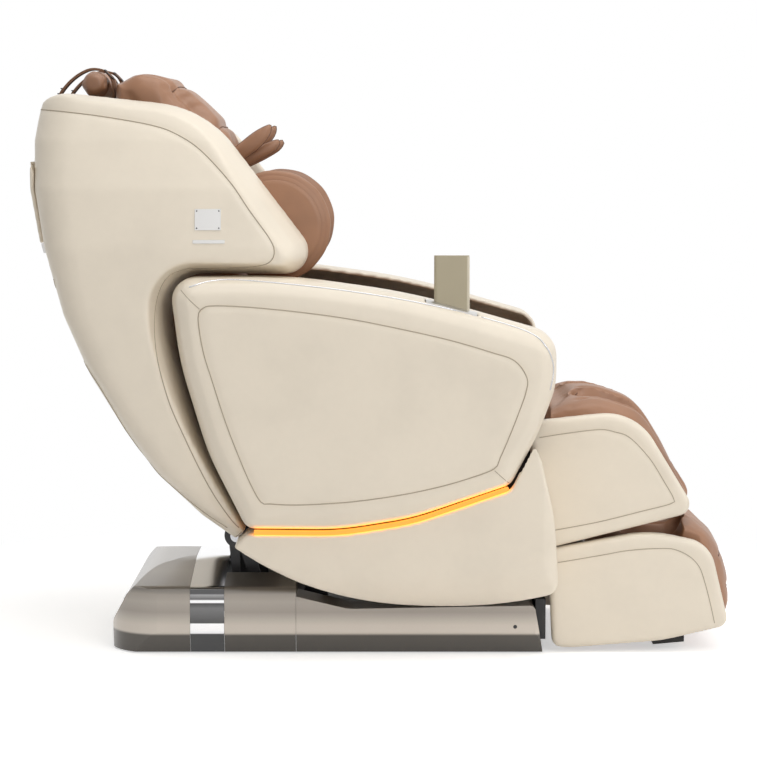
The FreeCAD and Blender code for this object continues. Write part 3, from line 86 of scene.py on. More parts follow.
def add_world():
    """Even studio light; what the camera, metal and glass see behind the chair is white."""
    world = bpy.data.worlds.new("studio")
    world.use_nodes = True
    tree = world.node_tree
    tree.nodes.clear()
    out = tree.nodes.new("ShaderNodeOutputWorld")
    mix = tree.nodes.new("ShaderNodeMixShader")
    seen = tree.nodes.new("ShaderNodeBackground")
    lit = tree.nodes.new("ShaderNodeBackground")
    seen.inputs["Color"].default_value = (1, 1, 1, 1)
    seen.inputs["Strength"].default_value = 1.0
    lit.inputs["Color"].default_value = (1.0, 0.985, 0.96, 1)
    lit.inputs["Strength"].default_value = WORLD_LIGHT
    tree.links.new(seen_directly(tree), mix.inputs["Fac"])
    tree.links.new(lit.outputs[0], mix.inputs[1])
    tree.links.new(seen.outputs[0], mix.inputs[2])
    tree.links.new(mix.outputs[0], out.inputs["Surface"])
    SCENE.world = world


def seen_directly(tree):
    """1 for rays that show a thing rather than light one: from the camera, off metal or through glass."""
    path = tree.nodes.new("ShaderNodeLightPath")
    total = path.outputs["Is Camera Ray"]
    for kind in ("Is Glossy Ray", "Is Transmission Ray"):
        either = tree.nodes.new("ShaderNodeMath")
        either.operation = "MAXIMUM"
        tree.links.new(total, either.inputs[0])
        tree.links.new(path.outputs[kind], either.inputs[1])
        total = either.outputs[0]
    return total


def add_floor():
    mesh = bpy.data.meshes.new("floor")
    reach = 30
    corners = [(-reach, -reach, 0), (reach, -reach, 0), (reach, reach, 0), (-reach, reach, 0)]
    mesh.from_pydata(corners, [], [(0, 1, 2, 3)])
    floor = bpy.data.objects.new("floor", mesh)
    SCENE.collection.objects.link(floor)
    floor.data.materials.append(floor_material())


# Materials


class Shader:
    """A node material built step by step."""

    def __init__(self, name):
        self.material = bpy.data.materials.new(name)
        self.material.use_nodes = True
        self.tree = self.material.node_tree
        self.surface = self.tree.nodes["Principled BSDF"]
        self.place = self.add("ShaderNodeTexCoord").outputs["Object"]

    def add(self, kind, **values):
        node = self.tree.nodes.new(kind)
        for key, value in values.items():
            setattr(node, key, value)
        return node

    def link(self, source, node, socket):
        self.tree.links.new(source, node.inputs[socket])

    def set(self, **values):
        for key, value in values.items():
            self.surface.inputs[key.replace("_", " ")].default_value = value

    def noise(self, scale, detail=2.0, rough=0.5, place=None):
        node = self.add("ShaderNodeTexNoise")
        node.inputs["Scale"].default_value = scale
        node.inputs["Detail"].default_value = detail
        node.inputs["Roughness"].default_value = rough
        self.link(place or self.place, node, "Vector")
        return node.outputs["Fac"]

    def cells(self, scale, feature="F1"):
        node = self.add("ShaderNodeTexVoronoi", feature=feature)
        node.inputs["Scale"].default_value = scale
        self.link(self.place, node, "Vector")
        return node.outputs["Distance"]

    def ramp(self, source, stops):
        node = self.add("ShaderNodeValToRGB")
        ends = node.color_ramp.elements
        while len(ends) < len(stops):
            ends.new(0.5)
        for end, (spot, colour) in zip(ends, stops):
            end.position = spot
            end.color = (*colour, 1)
        self.link(source, node, "Fac")
        return node.outputs["Color"]

    def blend(self, share, first, second, kind="MIX"):
        node = self.add("ShaderNodeMix", data_type="RGBA", blend_type=kind)
        for socket, value in ((0, share), (6, first), (7, second)):
            if isinstance(value, (int, float)):
                node.inputs[socket].default_value = value
            elif isinstance(value, tuple):
                node.inputs[socket].default_value = (*value, 1)
            else:
                self.tree.links.new(value, node.inputs[socket])
        return node.outputs[2]

    def span(self, source, low, high):
        node = self.add("ShaderNodeMapRange")
        node.inputs["To Min"].default_value = low
        node.inputs["To Max"].default_value = high
        self.link(source, node, "Value")
        return node.outputs["Result"]

    def bump(self, height, strength, distance, under=None):
        node = self.add("ShaderNodeBump")
        node.inputs["Strength"].default_value = strength
        node.inputs["Distance"].default_value = distance
        self.link(height, node, "Height")
        if under:
            self.link(under, node, "Normal")
        return node.outputs["Normal"]

    def colour(self, source):
        self.link(source, self.surface, "Base Color")

    def roughness(self, source):
        self.link(source, self.surface, "Roughness")

    def normal(self, source):
        self.link(source, self.surface, "Normal")


def shade(colour, factor):
    return tuple(min(1.0, part * factor) for part in colour)


def leather(name, colour, rough, grain=900, depth=0.0004, coat=0.08, wear=0.12):
    """Pebbled hide: small cells and fine creases, with slow changes of tone and gloss."""
    make = Shader(name)
    slow = make.noise(7, 3, 0.55)
    fine = make.noise(70, 3, 0.6)
    tones = [(0.3, shade(colour, 1 - wear)), (0.5, colour), (0.75, shade(colour, 1 + wear * 0.5))]
    tone = make.ramp(slow, tones)
    tone = make.blend(make.span(fine, 0.0, 0.12), tone, shade(colour, 0.72))
    # lighter on convex edges and on the shoulders of pressed seams, by the mesh's pointiness
    edges = make.add("ShaderNodeNewGeometry").outputs["Pointiness"]
    tone = make.blend(make.span(edges, 0.0, 0.10), tone, shade(colour, 1.25))
    make.colour(tone)
    make.roughness(make.span(slow, rough - 0.06, rough + 0.07))
    pebbles = make.bump(make.cells(grain), 0.22, depth)
    creases = make.bump(make.noise(grain * 0.35, 4, 0.65), 0.16, depth, pebbles)
    soft = make.bump(make.noise(16, 2, 0.5), 0.10, 0.004, creases)
    make.normal(soft)
    make.set(Coat_Weight=coat, Coat_Roughness=0.3)
    return make.material


def paint_light_by_height(make, tone, bands):
    """Painted reflections and shade that change up the height of a thing: (height in metres, factor) pairs."""
    split = make.add("ShaderNodeSeparateXYZ")
    make.link(make.place, split, "Vector")
    top = bands[-1][0]
    share = make.add("ShaderNodeMath", operation="DIVIDE")
    make.link(split.outputs["Z"], share, 0)
    share.inputs[1].default_value = top
    stops = [(height / top, (factor, factor, factor)) for height, factor in bands]
    return make.blend(1.0, tone, make.ramp(share.outputs[0], stops), "MULTIPLY")


def metal_paint(name, colour, rough=0.3, metallic=0.65, coat=0.5, bands=None):
    """Metallic paint with fine flakes under a clear coat."""
    make = Shader(name)
    flakes = make.cells(2600)
    slow = make.noise(3, 2)
    tone = make.blend(make.span(flakes, 0.0, 0.5), shade(colour, 0.86), shade(colour, 1.18))
    tone = make.blend(make.span(slow, 0.0, 0.14), tone, shade(colour, 0.8))
    # the bands paint reflections and shade into the paint's colour by height
    if bands:
        tone = paint_light_by_height(make, tone, bands)
    make.colour(tone)
    make.roughness(make.span(slow, rough - 0.04, rough + 0.06))
    make.normal(make.bump(flakes, 0.05, 0.0002))
    make.set(Metallic=metallic, Coat_Weight=coat, Coat_Roughness=0.12)
    return make.material


def bright_metal(name, colour, rough, brushed=True, bands=None):
    """Polished or brushed metal with faint streaks."""
    make = Shader(name)
    stretch = make.add("ShaderNodeMapping")
    make.link(make.place, stretch, "Vector")
    stretch.inputs["Scale"].default_value = (1, 30, 30) if brushed else (1, 2, 2)
    streaks = make.noise(60, 4, 0.6, stretch.outputs["Vector"])
    tone = make.blend(make.span(streaks, 0.0, 0.25), colour, shade(colour, 0.8))
    # the bands paint reflections into the metal's colour by height
    make.colour(paint_light_by_height(make, tone, bands) if bands else tone)
    make.roughness(make.span(streaks, rough * 0.75, rough * 1.3))
    make.normal(make.bump(streaks, 0.04 if brushed else 0.01, 0.0003))
    make.set(Metallic=1.0)
    return make.material


def plastic(name, colour, rough, grain=1500, depth=0.0003, strength=0.15):
    """Moulded plastic with an etched grain."""
    make = Shader(name)
    slow = make.noise(9, 2)
    make.colour(make.blend(make.span(slow, 0.0, 0.35), colour, shade(colour, 0.78)))
    make.roughness(make.span(make.noise(30, 3), rough - 0.07, rough + 0.07))
    make.normal(make.bump(make.noise(grain, 2), strength, depth))
    return make.material


def web(name, colour):
    """Woven webbing with a rib."""
    make = Shader(name)
    wave = make.add("ShaderNodeTexWave", wave_type="BANDS", bands_direction="Y")
    wave.inputs["Scale"].default_value = 160
    wave.inputs["Distortion"].default_value = 0.6
    make.link(make.place, wave, "Vector")
    make.colour(make.blend(make.span(wave.outputs["Fac"], 0.0, 0.6), colour, shade(colour, 0.6)))
    make.normal(make.bump(wave.outputs["Fac"], 0.4, 0.0006))
    make.set(Roughness=0.8)
    return make.material


def glow(name, colour, strength):
    """A frosted light strip, which lights what is near it more than it shows itself."""
    make = Shader(name)
    tone = make.blend(make.span(make.noise(25, 2), 0.0, 0.4), colour, shade(colour, 0.8))
    make.colour(make.blend(0.75, tone, (0.05, 0.02, 0.005)))
    make.link(tone, make.surface, "Emission Color")
    make.set(Roughness=0.4)
    direct = make.add("ShaderNodeLightPath").outputs["Is Camera Ray"]
    make.link(make.span(direct, 3 * strength, strength), make.surface, "Emission Strength")
    make.normal(make.bump(make.noise(600, 2), 0.05, 0.0003))
    return make.material


def glass(name, colour):
    """A dark glossy window."""
    make = Shader(name)
    make.colour(make.blend(make.span(make.noise(12), 0.0, 0.3), colour, shade(colour, 1.6)))
    make.roughness(make.span(make.noise(40), 0.04, 0.12))
    make.normal(make.bump(make.noise(200, 1), 0.02, 0.0002))
    make.set(Coat_Weight=0.6)
    return make.material


def floor_material():
    """White paper that keeps the chair's shadow and runs into the white behind it."""
    make = Shader("floor_paper")
    slow = make.noise(0.6, 2)
    make.colour(make.blend(make.span(slow, 0.0, 0.05), (0.94, 0.94, 0.94), (0.90, 0.90, 0.90)))
    make.normal(make.bump(make.noise(300, 2), 0.02, 0.0002))
    make.set(Roughness=0.95, Specular_IOR_Level=0.1)
    tree = make.material.node_tree
    out = next(node for node in tree.nodes if node.type == "OUTPUT_MATERIAL")
    lift, white = (tree.nodes.new("ShaderNodeEmission") for _ in range(2))
    lift.inputs["Strength"].default_value = FLOOR_LIFT
    white.inputs["Strength"].default_value = 1.0
    lifted = tree.nodes.new("ShaderNodeAddShader")
    tree.links.new(make.surface.outputs[0], lifted.inputs[0])
    tree.links.new(lift.outputs[0], lifted.inputs[1])
    reach = tree.nodes.new("ShaderNodeVectorMath")
    reach.operation = "LENGTH"
    tree.links.new(make.place, reach.inputs[0])
    fade = tree.nodes.new("ShaderNodeMapRange")
    fade.interpolation_type = "SMOOTHSTEP"
    fade.inputs["From Min"].default_value = 0.95
    fade.inputs["From Max"].default_value = 1.7
    tree.links.new(reach.outputs["Value"], fade.inputs["Value"])
    far = tree.nodes.new("ShaderNodeMixShader")
    tree.links.new(fade.outputs["Result"], far.inputs["Fac"])
    tree.links.new(lifted.outputs[0], far.inputs[1])
    tree.links.new(white.outputs[0], far.inputs[2])
    seen = tree.nodes.new("ShaderNodeMixShader")
    tree.links.new(seen_directly(tree), seen.inputs["Fac"])
    tree.links.new(make.surface.outputs[0], seen.inputs[1])
    tree.links.new(far.outputs[0], seen.inputs[2])
    tree.links.new(seen.outputs[0], out.inputs["Surface"])
    return make.material


CREAM = (0.83, 0.745, 0.62)
BROWN = (0.335, 0.168, 0.092)

# painted reflections and shade on the base's covers, from the floor up: painted shade at the foot and in the
# crease, and a painted bright reflection band just above the foot
COVER_PAINTED_LIGHT = [
    (0.0, 0.20), (0.040, 0.24), (0.045, 1.40), (0.062, 1.35), (0.090, 0.80), (0.112, 0.95),
    (0.128, 0.80), (0.139, 0.42), (0.144, 0.75), (0.160, 1.05), (0.20, 0.9),
]
# painted reflections on the chrome band, from the floor up: dark and bright stripes by height
CHROME_PAINTED_REFLECTIONS = [
    (0.0, 0.13), (0.043, 0.12), (0.045, 1.05), (0.065, 1.05), (0.067, 0.12), (0.098, 0.22),
    (0.109, 0.10), (0.110, 1.05), (0.115, 1.05), (0.117, 0.16), (0.127, 0.42), (0.129, 0.17),
    (0.141, 0.16), (0.1425, 1.5), (0.20, 1.35),
]

MATERIALS = {
    "cream_leather": leather("cream_leather", CREAM, 0.42, wear=0.05),
    "brown_leather": leather("brown_leather", BROWN, 0.44, grain=800, depth=0.0005, wear=0.2),
    "strap_web": web("strap_web", (0.20, 0.10, 0.055)),
    "seam": plastic("seam_thread", (0.44, 0.37, 0.28), 0.7, 3000),
    "brown_seam": plastic("brown_thread", (0.17, 0.085, 0.05), 0.7, 3000),
    "champagne": metal_paint("champagne", (0.40, 0.36, 0.315), 0.34, bands=COVER_PAINTED_LIGHT),
    "chrome": bright_metal("chrome", (0.72, 0.72, 0.73), 0.14, False, bands=CHROME_PAINTED_REFLECTIONS),
    "satin_steel": bright_metal("satin_steel", (0.66, 0.65, 0.635), 0.32),
    "bright_steel": bright_metal("bright_steel", (0.60, 0.60, 0.62), 0.25),
    "dark_metal": metal_paint("dark_metal", (0.035, 0.035, 0.038), 0.45, 0.2, 0.1),
    "dark_plastic": plastic("dark_plastic", (0.022, 0.022, 0.024), 0.55),
    "tyre": plastic("tyre_rubber", (0.018, 0.018, 0.018), 0.8),
    "rubber": plastic("rubber", (0.03, 0.03, 0.03), 0.75),
    "amber_lens": glow("amber_lens", (1.0, 0.36, 0.045), 1.15),
    "khaki_plastic": plastic("khaki_plastic", (0.44, 0.385, 0.27), 0.42, 2200, 0.0002),
    "khaki_light": plastic("khaki_light", (0.66, 0.60, 0.47), 0.38, 2200, 0.0002),
    "screen_glass": glass("screen_glass", (0.012, 0.012, 0.014)),
}


def dress_cad():
    """Every CAD node takes the material of its own slot, except the badge plates, rear trim and remote pocket,
    which take satin steel.
    """
    slots = {entry["node"]: entry["material_slot"] for entry in frame["record"]["subparts"]}
    for name, thing in NODES.items():
        thing.data.materials.clear()
        slot = "satin_steel" if name in ("badge_plates", "rear_trim", "remote_pocket") else slots[name]
        thing.data.materials.append(MATERIALS[slot])
        smooth_by_angle(thing, 35)
    return slots


def smooth_by_angle(thing, degrees):
    """Smooth shading that keeps edges sharper than an angle."""
    mesh = thing.data
    mesh.polygons.foreach_set("use_smooth", [True] * len(mesh.polygons))
    mesh.set_sharp_from_angle(angle=math.radians(degrees))


# Skins made from the frame's nodes


def evaluated(thing):
    """The mesh with its modifiers, as a plain mesh."""
    graph = bpy.context.evaluated_depsgraph_get()
    mesh = bpy.data.meshes.new_from_object(thing.evaluated_get(graph))
    old = thing.data
    thing.modifiers.clear()
    thing.data = mesh
    bpy.data.meshes.remove(old)


def copy_of(node, name, material):
    thing = bpy.data.objects.new(name, NODES[node].data.copy())
    SCENE.collection.objects.link(thing)
    thing.data.materials.clear()
    thing.data.materials.append(MATERIALS[material])
    return thing


def remeshed(thing, voxel, rounds):
    """One even skin over the node's solid, its corners softened."""
    grid = thing.modifiers.new("grid", "REMESH")
    grid.mode = "VOXEL"
    grid.voxel_size = voxel
    grid.use_smooth_shade = True
    evaluated(thing)
    if rounds:
        soft = thing.modifiers.new("soft", "SMOOTH")
        soft.factor = 0.5
        soft.iterations = rounds
        evaluated(thing)


def points_of(thing):
    data = np.empty(len(thing.data.vertices) * 3)
    thing.data.vertices.foreach_get("co", data)
    return data.reshape(-1, 3)


def normals_of(thing):
    data = np.empty(len(thing.data.vertices) * 3)
    thing.data.vertices.foreach_get("normal", data)
    return data.reshape(-1, 3)


def move_points(thing, points):
    thing.data.vertices.foreach_set("co", points.ravel())
    thing.data.update()


def press(thing, depth, width, distance, facing=None):
    """Presses a valley into the skin along a line, given each point's distance to it."""
    points = points_of(thing)
    normals = normals_of(thing)
    near = np.exp(-(distance(points) / width) ** 2)
    if facing is not None:
        near *= np.clip((normals @ np.array(facing, float)) * 3 - 0.3, 0, 1)
    move_points(thing, points - normals * (near * depth)[:, None])


def line_distance(line, axes):
    """A function giving the distance of points to an open line in two of their axes."""
    start, stop = line[:-1], line[1:]

    def distance(points):
        flat = points[:, axes]
        best = np.full(len(flat), 9.0)
        for a, b in zip(start, stop):
            along = b - a
            share = np.clip(((flat - a) @ along) / max(along @ along, 1e-12), 0, 1)
            best = np.minimum(best, np.linalg.norm(flat - a - share[:, None] * along, axis=1))
        return best

    return distance


def smooth_line(points, step=0.008, closed=False):
    """Evenly spaced points on a smooth line through the given ones."""
    spots = [Vector(p) for p in points]
    count = len(spots)
    found = []
    for i in range(count if closed else count - 1):
        if closed:
            a, b, c, d = spots[i - 1], spots[i], spots[(i + 1) % count], spots[(i + 2) % count]
        else:
            a, b, c, d = spots[max(i - 1, 0)], spots[i], spots[i + 1], spots[min(i + 2, count - 1)]
        parts = max(1, round((c - b).length / step))
        for k in range(parts):
            t = k / parts
            found.append(0.5 * ((2 * b) + (c - a) * t + (2 * a - 5 * b + 4 * c - d) * t * t
                                + (3 * b - a - 3 * c + d) * t * t * t))
    if not closed:
        found.append(spots[-1])
    return found


def tree_of(things):
    verts, faces = [], []
    for thing in things:
        shift = len(verts)
        verts += [v.co.copy() for v in thing.data.vertices]
        faces += [[i + shift for i in p.vertices] for p in thing.data.polygons]
    return BVHTree.FromPolygons(verts, faces)


def tube(name, paths, radius, material, body, closed=False, rings=3):
    """Thin round lines, such as seams, piping and wire."""
    curve = bpy.data.curves.new(name, "CURVE")
    curve.dimensions = "3D"
    curve.bevel_depth = radius
    curve.bevel_resolution = rings
    for path in paths:
        if len(path) < 2:
            continue
        spline = curve.splines.new("POLY")
        spline.points.add(len(path) - 1)
        for point, spot in zip(spline.points, path):
            point.co = (*spot, 1)
        spline.use_cyclic_u = closed
    curve.materials.append(MATERIALS[material])
    thing = bpy.data.objects.new(name, curve)
    SCENE.collection.objects.link(thing)
    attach(thing, body)
    return thing


def on_side(tree, line, side, lift=0.0):
    """Drops a line seen from the side on the skin below it."""
    paths, path = [], []
    for x, z in line:
        hit, normal, _, _ = tree.ray_cast(Vector((x, side * 1.0, z)), Vector((0, -side, 0)))
        if hit is None:
            paths.append(path)
            path = []
        else:
            path.append(hit + normal * lift)
    paths.append(path)
    return [p for p in paths if len(p) > 2]


def side_seam(
    name, skin, outline, body, side, closed=False, radius=0.0011, material="seam",
    depth=0.0016,
):
    """A sewn seam on a side skin: a soft valley and the thread line in it."""
    flat = smooth_line([(x, z, 0) for x, z in outline], closed=closed)
    line = [(p.x, p.y) for p in flat]
    ring = np.array(line + line[:1] if closed else line)
    press(skin, depth, 0.007, line_distance(ring, [0, 2]), (0, side, 0))
    paths = on_side(tree_of([skin]), line + (line[:1] if closed else []), side, radius * 0.2)
    tube(name, paths, radius, material, body)


def millimetres(*pairs, shift=-10):
    """Outline points measured in millimetres, moved into the chair's frame."""
    return [((x + shift) / 1000, z / 1000) for x, z in pairs]


BODY_OF = {node: body for body, nodes in frame["record"]["behaviour"]["bodies"].items() for node in nodes}
SIDES = ((-1, "right"), (1, "left"))


def dress(thing, node):
    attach(thing, BODY_OF[node])
    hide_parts(node)
    return thing


# Moulded shells in cream leather


def shell(node, voxel=0.005, rounds=8):
    thing = copy_of(node, "skin_" + node, "cream_leather")
    remeshed(thing, voxel, rounds)
    return dress(thing, node)


WING_SEAM = millimetres(
    (-704, 1144), (-651, 1139), (-569, 1129), (-467, 1111), (-416, 1093), (-365, 1060), (-304, 995),
    (-264, 937), (-223, 880), (-213, 855), (-219, 835), (-239, 825), (-285, 820), (-346, 818),
    (-398, 816), (-433, 800), (-453, 763), (-460, 711), (-454, 639), (-430, 546), (-400, 474),
    (-369, 405), (-338, 345), (-303, 292), (-290, 278),
)
BACK_CREASE = millimetres(
    (-669, 795), (-654, 710), (-621, 644), (-576, 575), (-525, 486), (-474, 409), (-422, 357),
    (-371, 315), (-315, 276),
)
TIP_SEAM = millimetres((-277, 283), (-286, 268), (-298, 254))
POD_PANEL = millimetres(
    (-366, 720), (-356, 740), (-332, 745), (-261, 742), (-159, 732), (-58, 718), (44, 698), (145, 675),
    (227, 651), (277, 633), (302, 598), (300, 569), (288, 533), (268, 481), (248, 434), (236, 412),
    (187, 393), (125, 375), (44, 358), (-58, 344), (-160, 338), (-222, 340), (-240, 344), (-262, 383),
    (-286, 440), (-313, 512), (-339, 594), (-357, 655),
)
POD_TRIM = millimetres((-385, 782), (-340, 794), (-271, 795), (-119, 781), (44, 757), (186, 726), (305, 690),
                       (341, 661), (355, 629), (356, 603), (350, 572))
POD_MITRES = (
    millimetres((-402, 776), (-383, 756), (-363, 738)), millimetres((268, 379), (253, 393), (237, 408)),
)
CALF_SEAM = millimetres((338, 458), (402, 468), (465, 475), (496, 470), (528, 458), (570, 414), (602, 363),
                        (621, 329), (615, 318), (550, 301), (466, 280), (372, 262))
FOOT_SEAM = millimetres((378, 193), (466, 208), (529, 219), (593, 223), (624, 221), (656, 206), (677, 183),
                        (690, 146), (701, 104), (710, 64))


def shells():
    """The moulded cream housings with their sewn lines."""
    shell("back_shell")
    shell("rear_cover", 0.0045, 5)
    for side, word in SIDES:
        wing = shell("wing_" + word)
        side_seam(f"wing_seam_{word}", wing, WING_SEAM, "backrest", side)
        side_seam(f"back_crease_{word}", wing, BACK_CREASE, "backrest", side, depth=0.0025)
        side_seam(f"tip_seam_{word}", wing, TIP_SEAM, "backrest", side)
        pod = shell("arm_pod_" + word)
        door = "door_" + word
        side_seam(f"pod_panel_seam_{word}", pod, POD_PANEL, door, side, closed=True)
        for number, mitre in enumerate(POD_MITRES):
            side_seam(f"pod_mitre_{number}_{word}", pod, mitre, door, side, radius=0.0008, depth=0.001)
        side_seam(f"pod_trim_{word}", pod, POD_TRIM, door, side, radius=0.0016, material="bright_steel",
                  depth=0.001)
    shell("seat_hull")
    for node, seam, body in (("calf_panels", CALF_SEAM, "legrest"), ("foot_panels", FOOT_SEAM, "footrest")):
        skin = shell(node, 0.0045, 6)
        for side, word in SIDES:
            side_seam(f"{node}_seam_{word}", skin, seam, body, side, radius=0.0009)


# Padding

CLOTH_FRAMES = 20
STRAP_SPOTS = (-0.102, 0.102)


def inflate(thing, pressure, cap, shares):
    """Blows the pad up as cloth, then limits how far each point has moved."""
    start = points_of(thing)
    cloth = thing.modifiers.new("cloth", "CLOTH")
    cloth.settings.quality = 4
    cloth.settings.mass = 0.3
    cloth.settings.tension_stiffness = 12
    cloth.settings.compression_stiffness = 12
    cloth.settings.shear_stiffness = 6
    cloth.settings.bending_stiffness = 0.6
    cloth.settings.use_pressure = True
    cloth.settings.uniform_pressure_force = pressure
    cloth.settings.effector_weights.gravity = 0
    cloth.collision_settings.use_collision = False
    cloth.point_cache.frame_start = 1
    cloth.point_cache.frame_end = CLOTH_FRAMES
    for number in range(1, CLOTH_FRAMES + 1):
        SCENE.frame_set(number)
    graph = bpy.context.evaluated_depsgraph_get()
    blown = thing.evaluated_get(graph).data
    moved = np.empty(len(blown.vertices) * 3)
    blown.vertices.foreach_get("co", moved)
    thing.modifiers.clear()
    SCENE.frame_set(1)
    step = moved.reshape(-1, 3) - start
    length = np.linalg.norm(step, axis=1)
    limit = cap * shares
    scale = limit / (limit + length + 1e-9)
    move_points(thing, start + step * (2 * scale)[:, None].clip(0, 1))


def cushion(node, towards, voxel=0.008, pressure=4.0, cap=0.016, shrink=0.005, rounds=4):
    """A padded piece, full on the side towards the sitter and true to its solid where it rests on something."""
    thing = copy_of(node, "pad_" + node, "brown_leather")
    remeshed(thing, voxel, rounds)
    normals = normals_of(thing)
    facing = normals @ np.array(Vector(towards).normalized()) if any(towards) else np.ones(len(normals))
    shares = np.clip(0.35 + facing, 0.03, 1)
    move_points(thing, points_of(thing) - normals * shrink)
    inflate(thing, pressure, cap, shares)
    fine = thing.modifiers.new("fine", "SUBSURF")
    fine.levels = fine.render_levels = 1
    evaluated(thing)
    thing.data.polygons.foreach_set("use_smooth", [True] * len(thing.data.polygons))
    dress(thing, node)
    return thing


def cast_lines(tree, lines, direction, lift=0.0006):
    """Drops lines on a skin along one direction."""
    way = Vector(direction).normalized()
    paths = []
    for line in lines:
        path = []
        for spot in line:
            hit, normal, _, _ = tree.ray_cast(Vector(spot) - way * 0.4, way, 0.8)
            if hit is not None:
                path.append(hit + normal * lift)
        paths.append(path)
    return [path for path in paths if len(path) > 2]


def valley(thing, lines, facing, depth=0.008, width=0.010):
    """Sewn channels: each point sinks by its distance to the nearest line, seen along the facing direction."""
    way = np.array(Vector(facing).normalized())
    points = points_of(thing)
    best = np.full(len(points), 9.0)
    for line in lines:
        spots = np.array([tuple(spot) for spot in line])
        for a, b in zip(spots[:-1], spots[1:]):
            along = b - a
            share = np.clip(((points - a) @ along) / max(along @ along, 1e-12), 0, 1)
            off = points - a - share[:, None] * along
            off -= (off @ way)[:, None] * way
            best = np.minimum(best, np.linalg.norm(off, axis=1))
    normals = normals_of(thing)
    near = np.exp(-(best / width) ** 2) * np.clip((normals @ way) * 2.5 - 0.2, 0, 1)
    move_points(thing, points - normals * (near * depth)[:, None])


def channels(thing, name, lines, facing, body, depth=0.008, width=0.010, thread=0.0011):
    valley(thing, lines, facing, depth, width)
    paths = cast_lines(tree_of([thing]), lines, [-part for part in facing])
    tube(name, paths, thread, "brown_seam", body)


# the back's pivot and rake, and its own directions outward and upward
PIVOT = Vector((-0.312, 0, 0.240))
RAKE = math.radians(21)
OUT = Vector((math.cos(RAKE), 0, math.sin(RAKE)))
UP = Vector((-math.sin(RAKE), 0, math.cos(RAKE)))


def raked(out, y, up):
    return PIVOT + OUT * out + Vector((0, y, 0)) + UP * up


def span_y(make, half, count=24):
    return [make(-half + 2 * half * i / count) for i in range(count + 1)]


def seat_pads():
    seat = cushion("seat_cushion", (0.15, 0, 1), cap=0.018)
    rows = ((0.12, 0.47), (0.01, 0.45), (-0.10, 0.435))
    lines = [span_y(lambda y: Vector((x, y, z)), 0.235) for x, z in rows]
    channels(seat, "seat_channels", lines, (0.1, 0, 1), "seat")
    edges = [[Vector((x, side * 0.215, 0.46)) for x in np.linspace(-0.25, 0.205, 30)] for side in (-1, 1)]
    channels(seat, "seat_side_seams", edges, (0.05, 0, 1), "seat", 0.004, 0.007)
    back = cushion("back_cushion", OUT, cap=0.020)
    lines = [span_y(lambda y: raked(0.186, y, up), 0.150) for up in (0.26, 0.35, 0.44, 0.53)]
    channels(back, "back_channels", lines, OUT, "backrest", 0.010, 0.012)
    edges = [[raked(0.2, side * 0.168, up) for up in np.linspace(0.19, 0.62, 40)] for side in (-1, 1)]
    channels(back, "back_side_seams", edges, OUT, "backrest", 0.008, 0.009)
    for side, word in SIDES:
        pad = cushion("arm_pad_" + word, (0, -side, 0), cap=0.010, shrink=0.004)
        lines = []
        for rise in (0, 0.09):
            lines.append([Vector((x, side * 0.263, 0.640 - rise - 0.154 * (x + 0.24)))
                          for x in np.linspace(-0.23, 0.26, 30)])
        channels(pad, f"arm_pad_seams_{word}", lines, (0, -side, 0), "door_" + word, 0.005, 0.009)


def head_pads():
    head = cushion("head_cushion", (0.8, 0, 0.6), voxel=0.006, cap=0.012, shrink=0.006)
    lines = [[Vector((-0.60 + 0.3 * i / 20, side * 0.150, 1.26 - 0.2 * max(0, i / 20 - 0.35))) for i in range(21)]
             for side in (-1, 1)]
    valley(head, lines, (0.55, 0, 0.85), 0.005, 0.010)
    rows = [span_y(lambda y: Vector((x, y, z)), 0.150) for x, z in ((-0.43, 1.20), (-0.345, 1.11))]
    channels(head, "head_channels", rows, (0.75, 0, 0.66), "backrest", 0.007, 0.012)
    roll = cushion("head_pillow", (0, 0, 0), voxel=0.005, cap=0.006, shrink=0.004)
    points = points_of(roll)
    normals = normals_of(roll)
    y = points[:, 1]
    turn = np.arctan2(points[:, 2] - 1.2, points[:, 0] + 0.615)
    strap = sum(np.exp(-((y - spot) / 0.017) ** 4) for spot in STRAP_SPOTS) * 0.004
    barrel = np.clip(1 - np.abs(normals[:, 1]) * 1.4, 0, 1)
    ends = np.clip((np.abs(y) - 0.118) / 0.04, 0, 1)
    folds = 0.0012 * np.sin(7 * turn + 50 * np.abs(y)) * ends * barrel
    waves = 0.0010 * np.sin(5 * turn + 35 * y) * barrel
    move_points(roll, points - normals * (strap + folds + waves)[:, None])


PETALS = (
    (-0.150, (
        (-0.330, 1.050), (-0.300, 1.078), (-0.271, 1.100), (-0.243, 1.1135), (-0.2385, 1.1075),
        (-0.243, 1.091), (-0.262, 1.067), (-0.288, 1.047), (-0.312, 1.034),
    )),
    (-0.128, (
        (-0.320, 1.040), (-0.284, 1.056), (-0.252, 1.074), (-0.2245, 1.082), (-0.221, 1.0755),
        (-0.231, 1.060), (-0.258, 1.043), (-0.288, 1.028), (-0.312, 1.020),
    )),
)


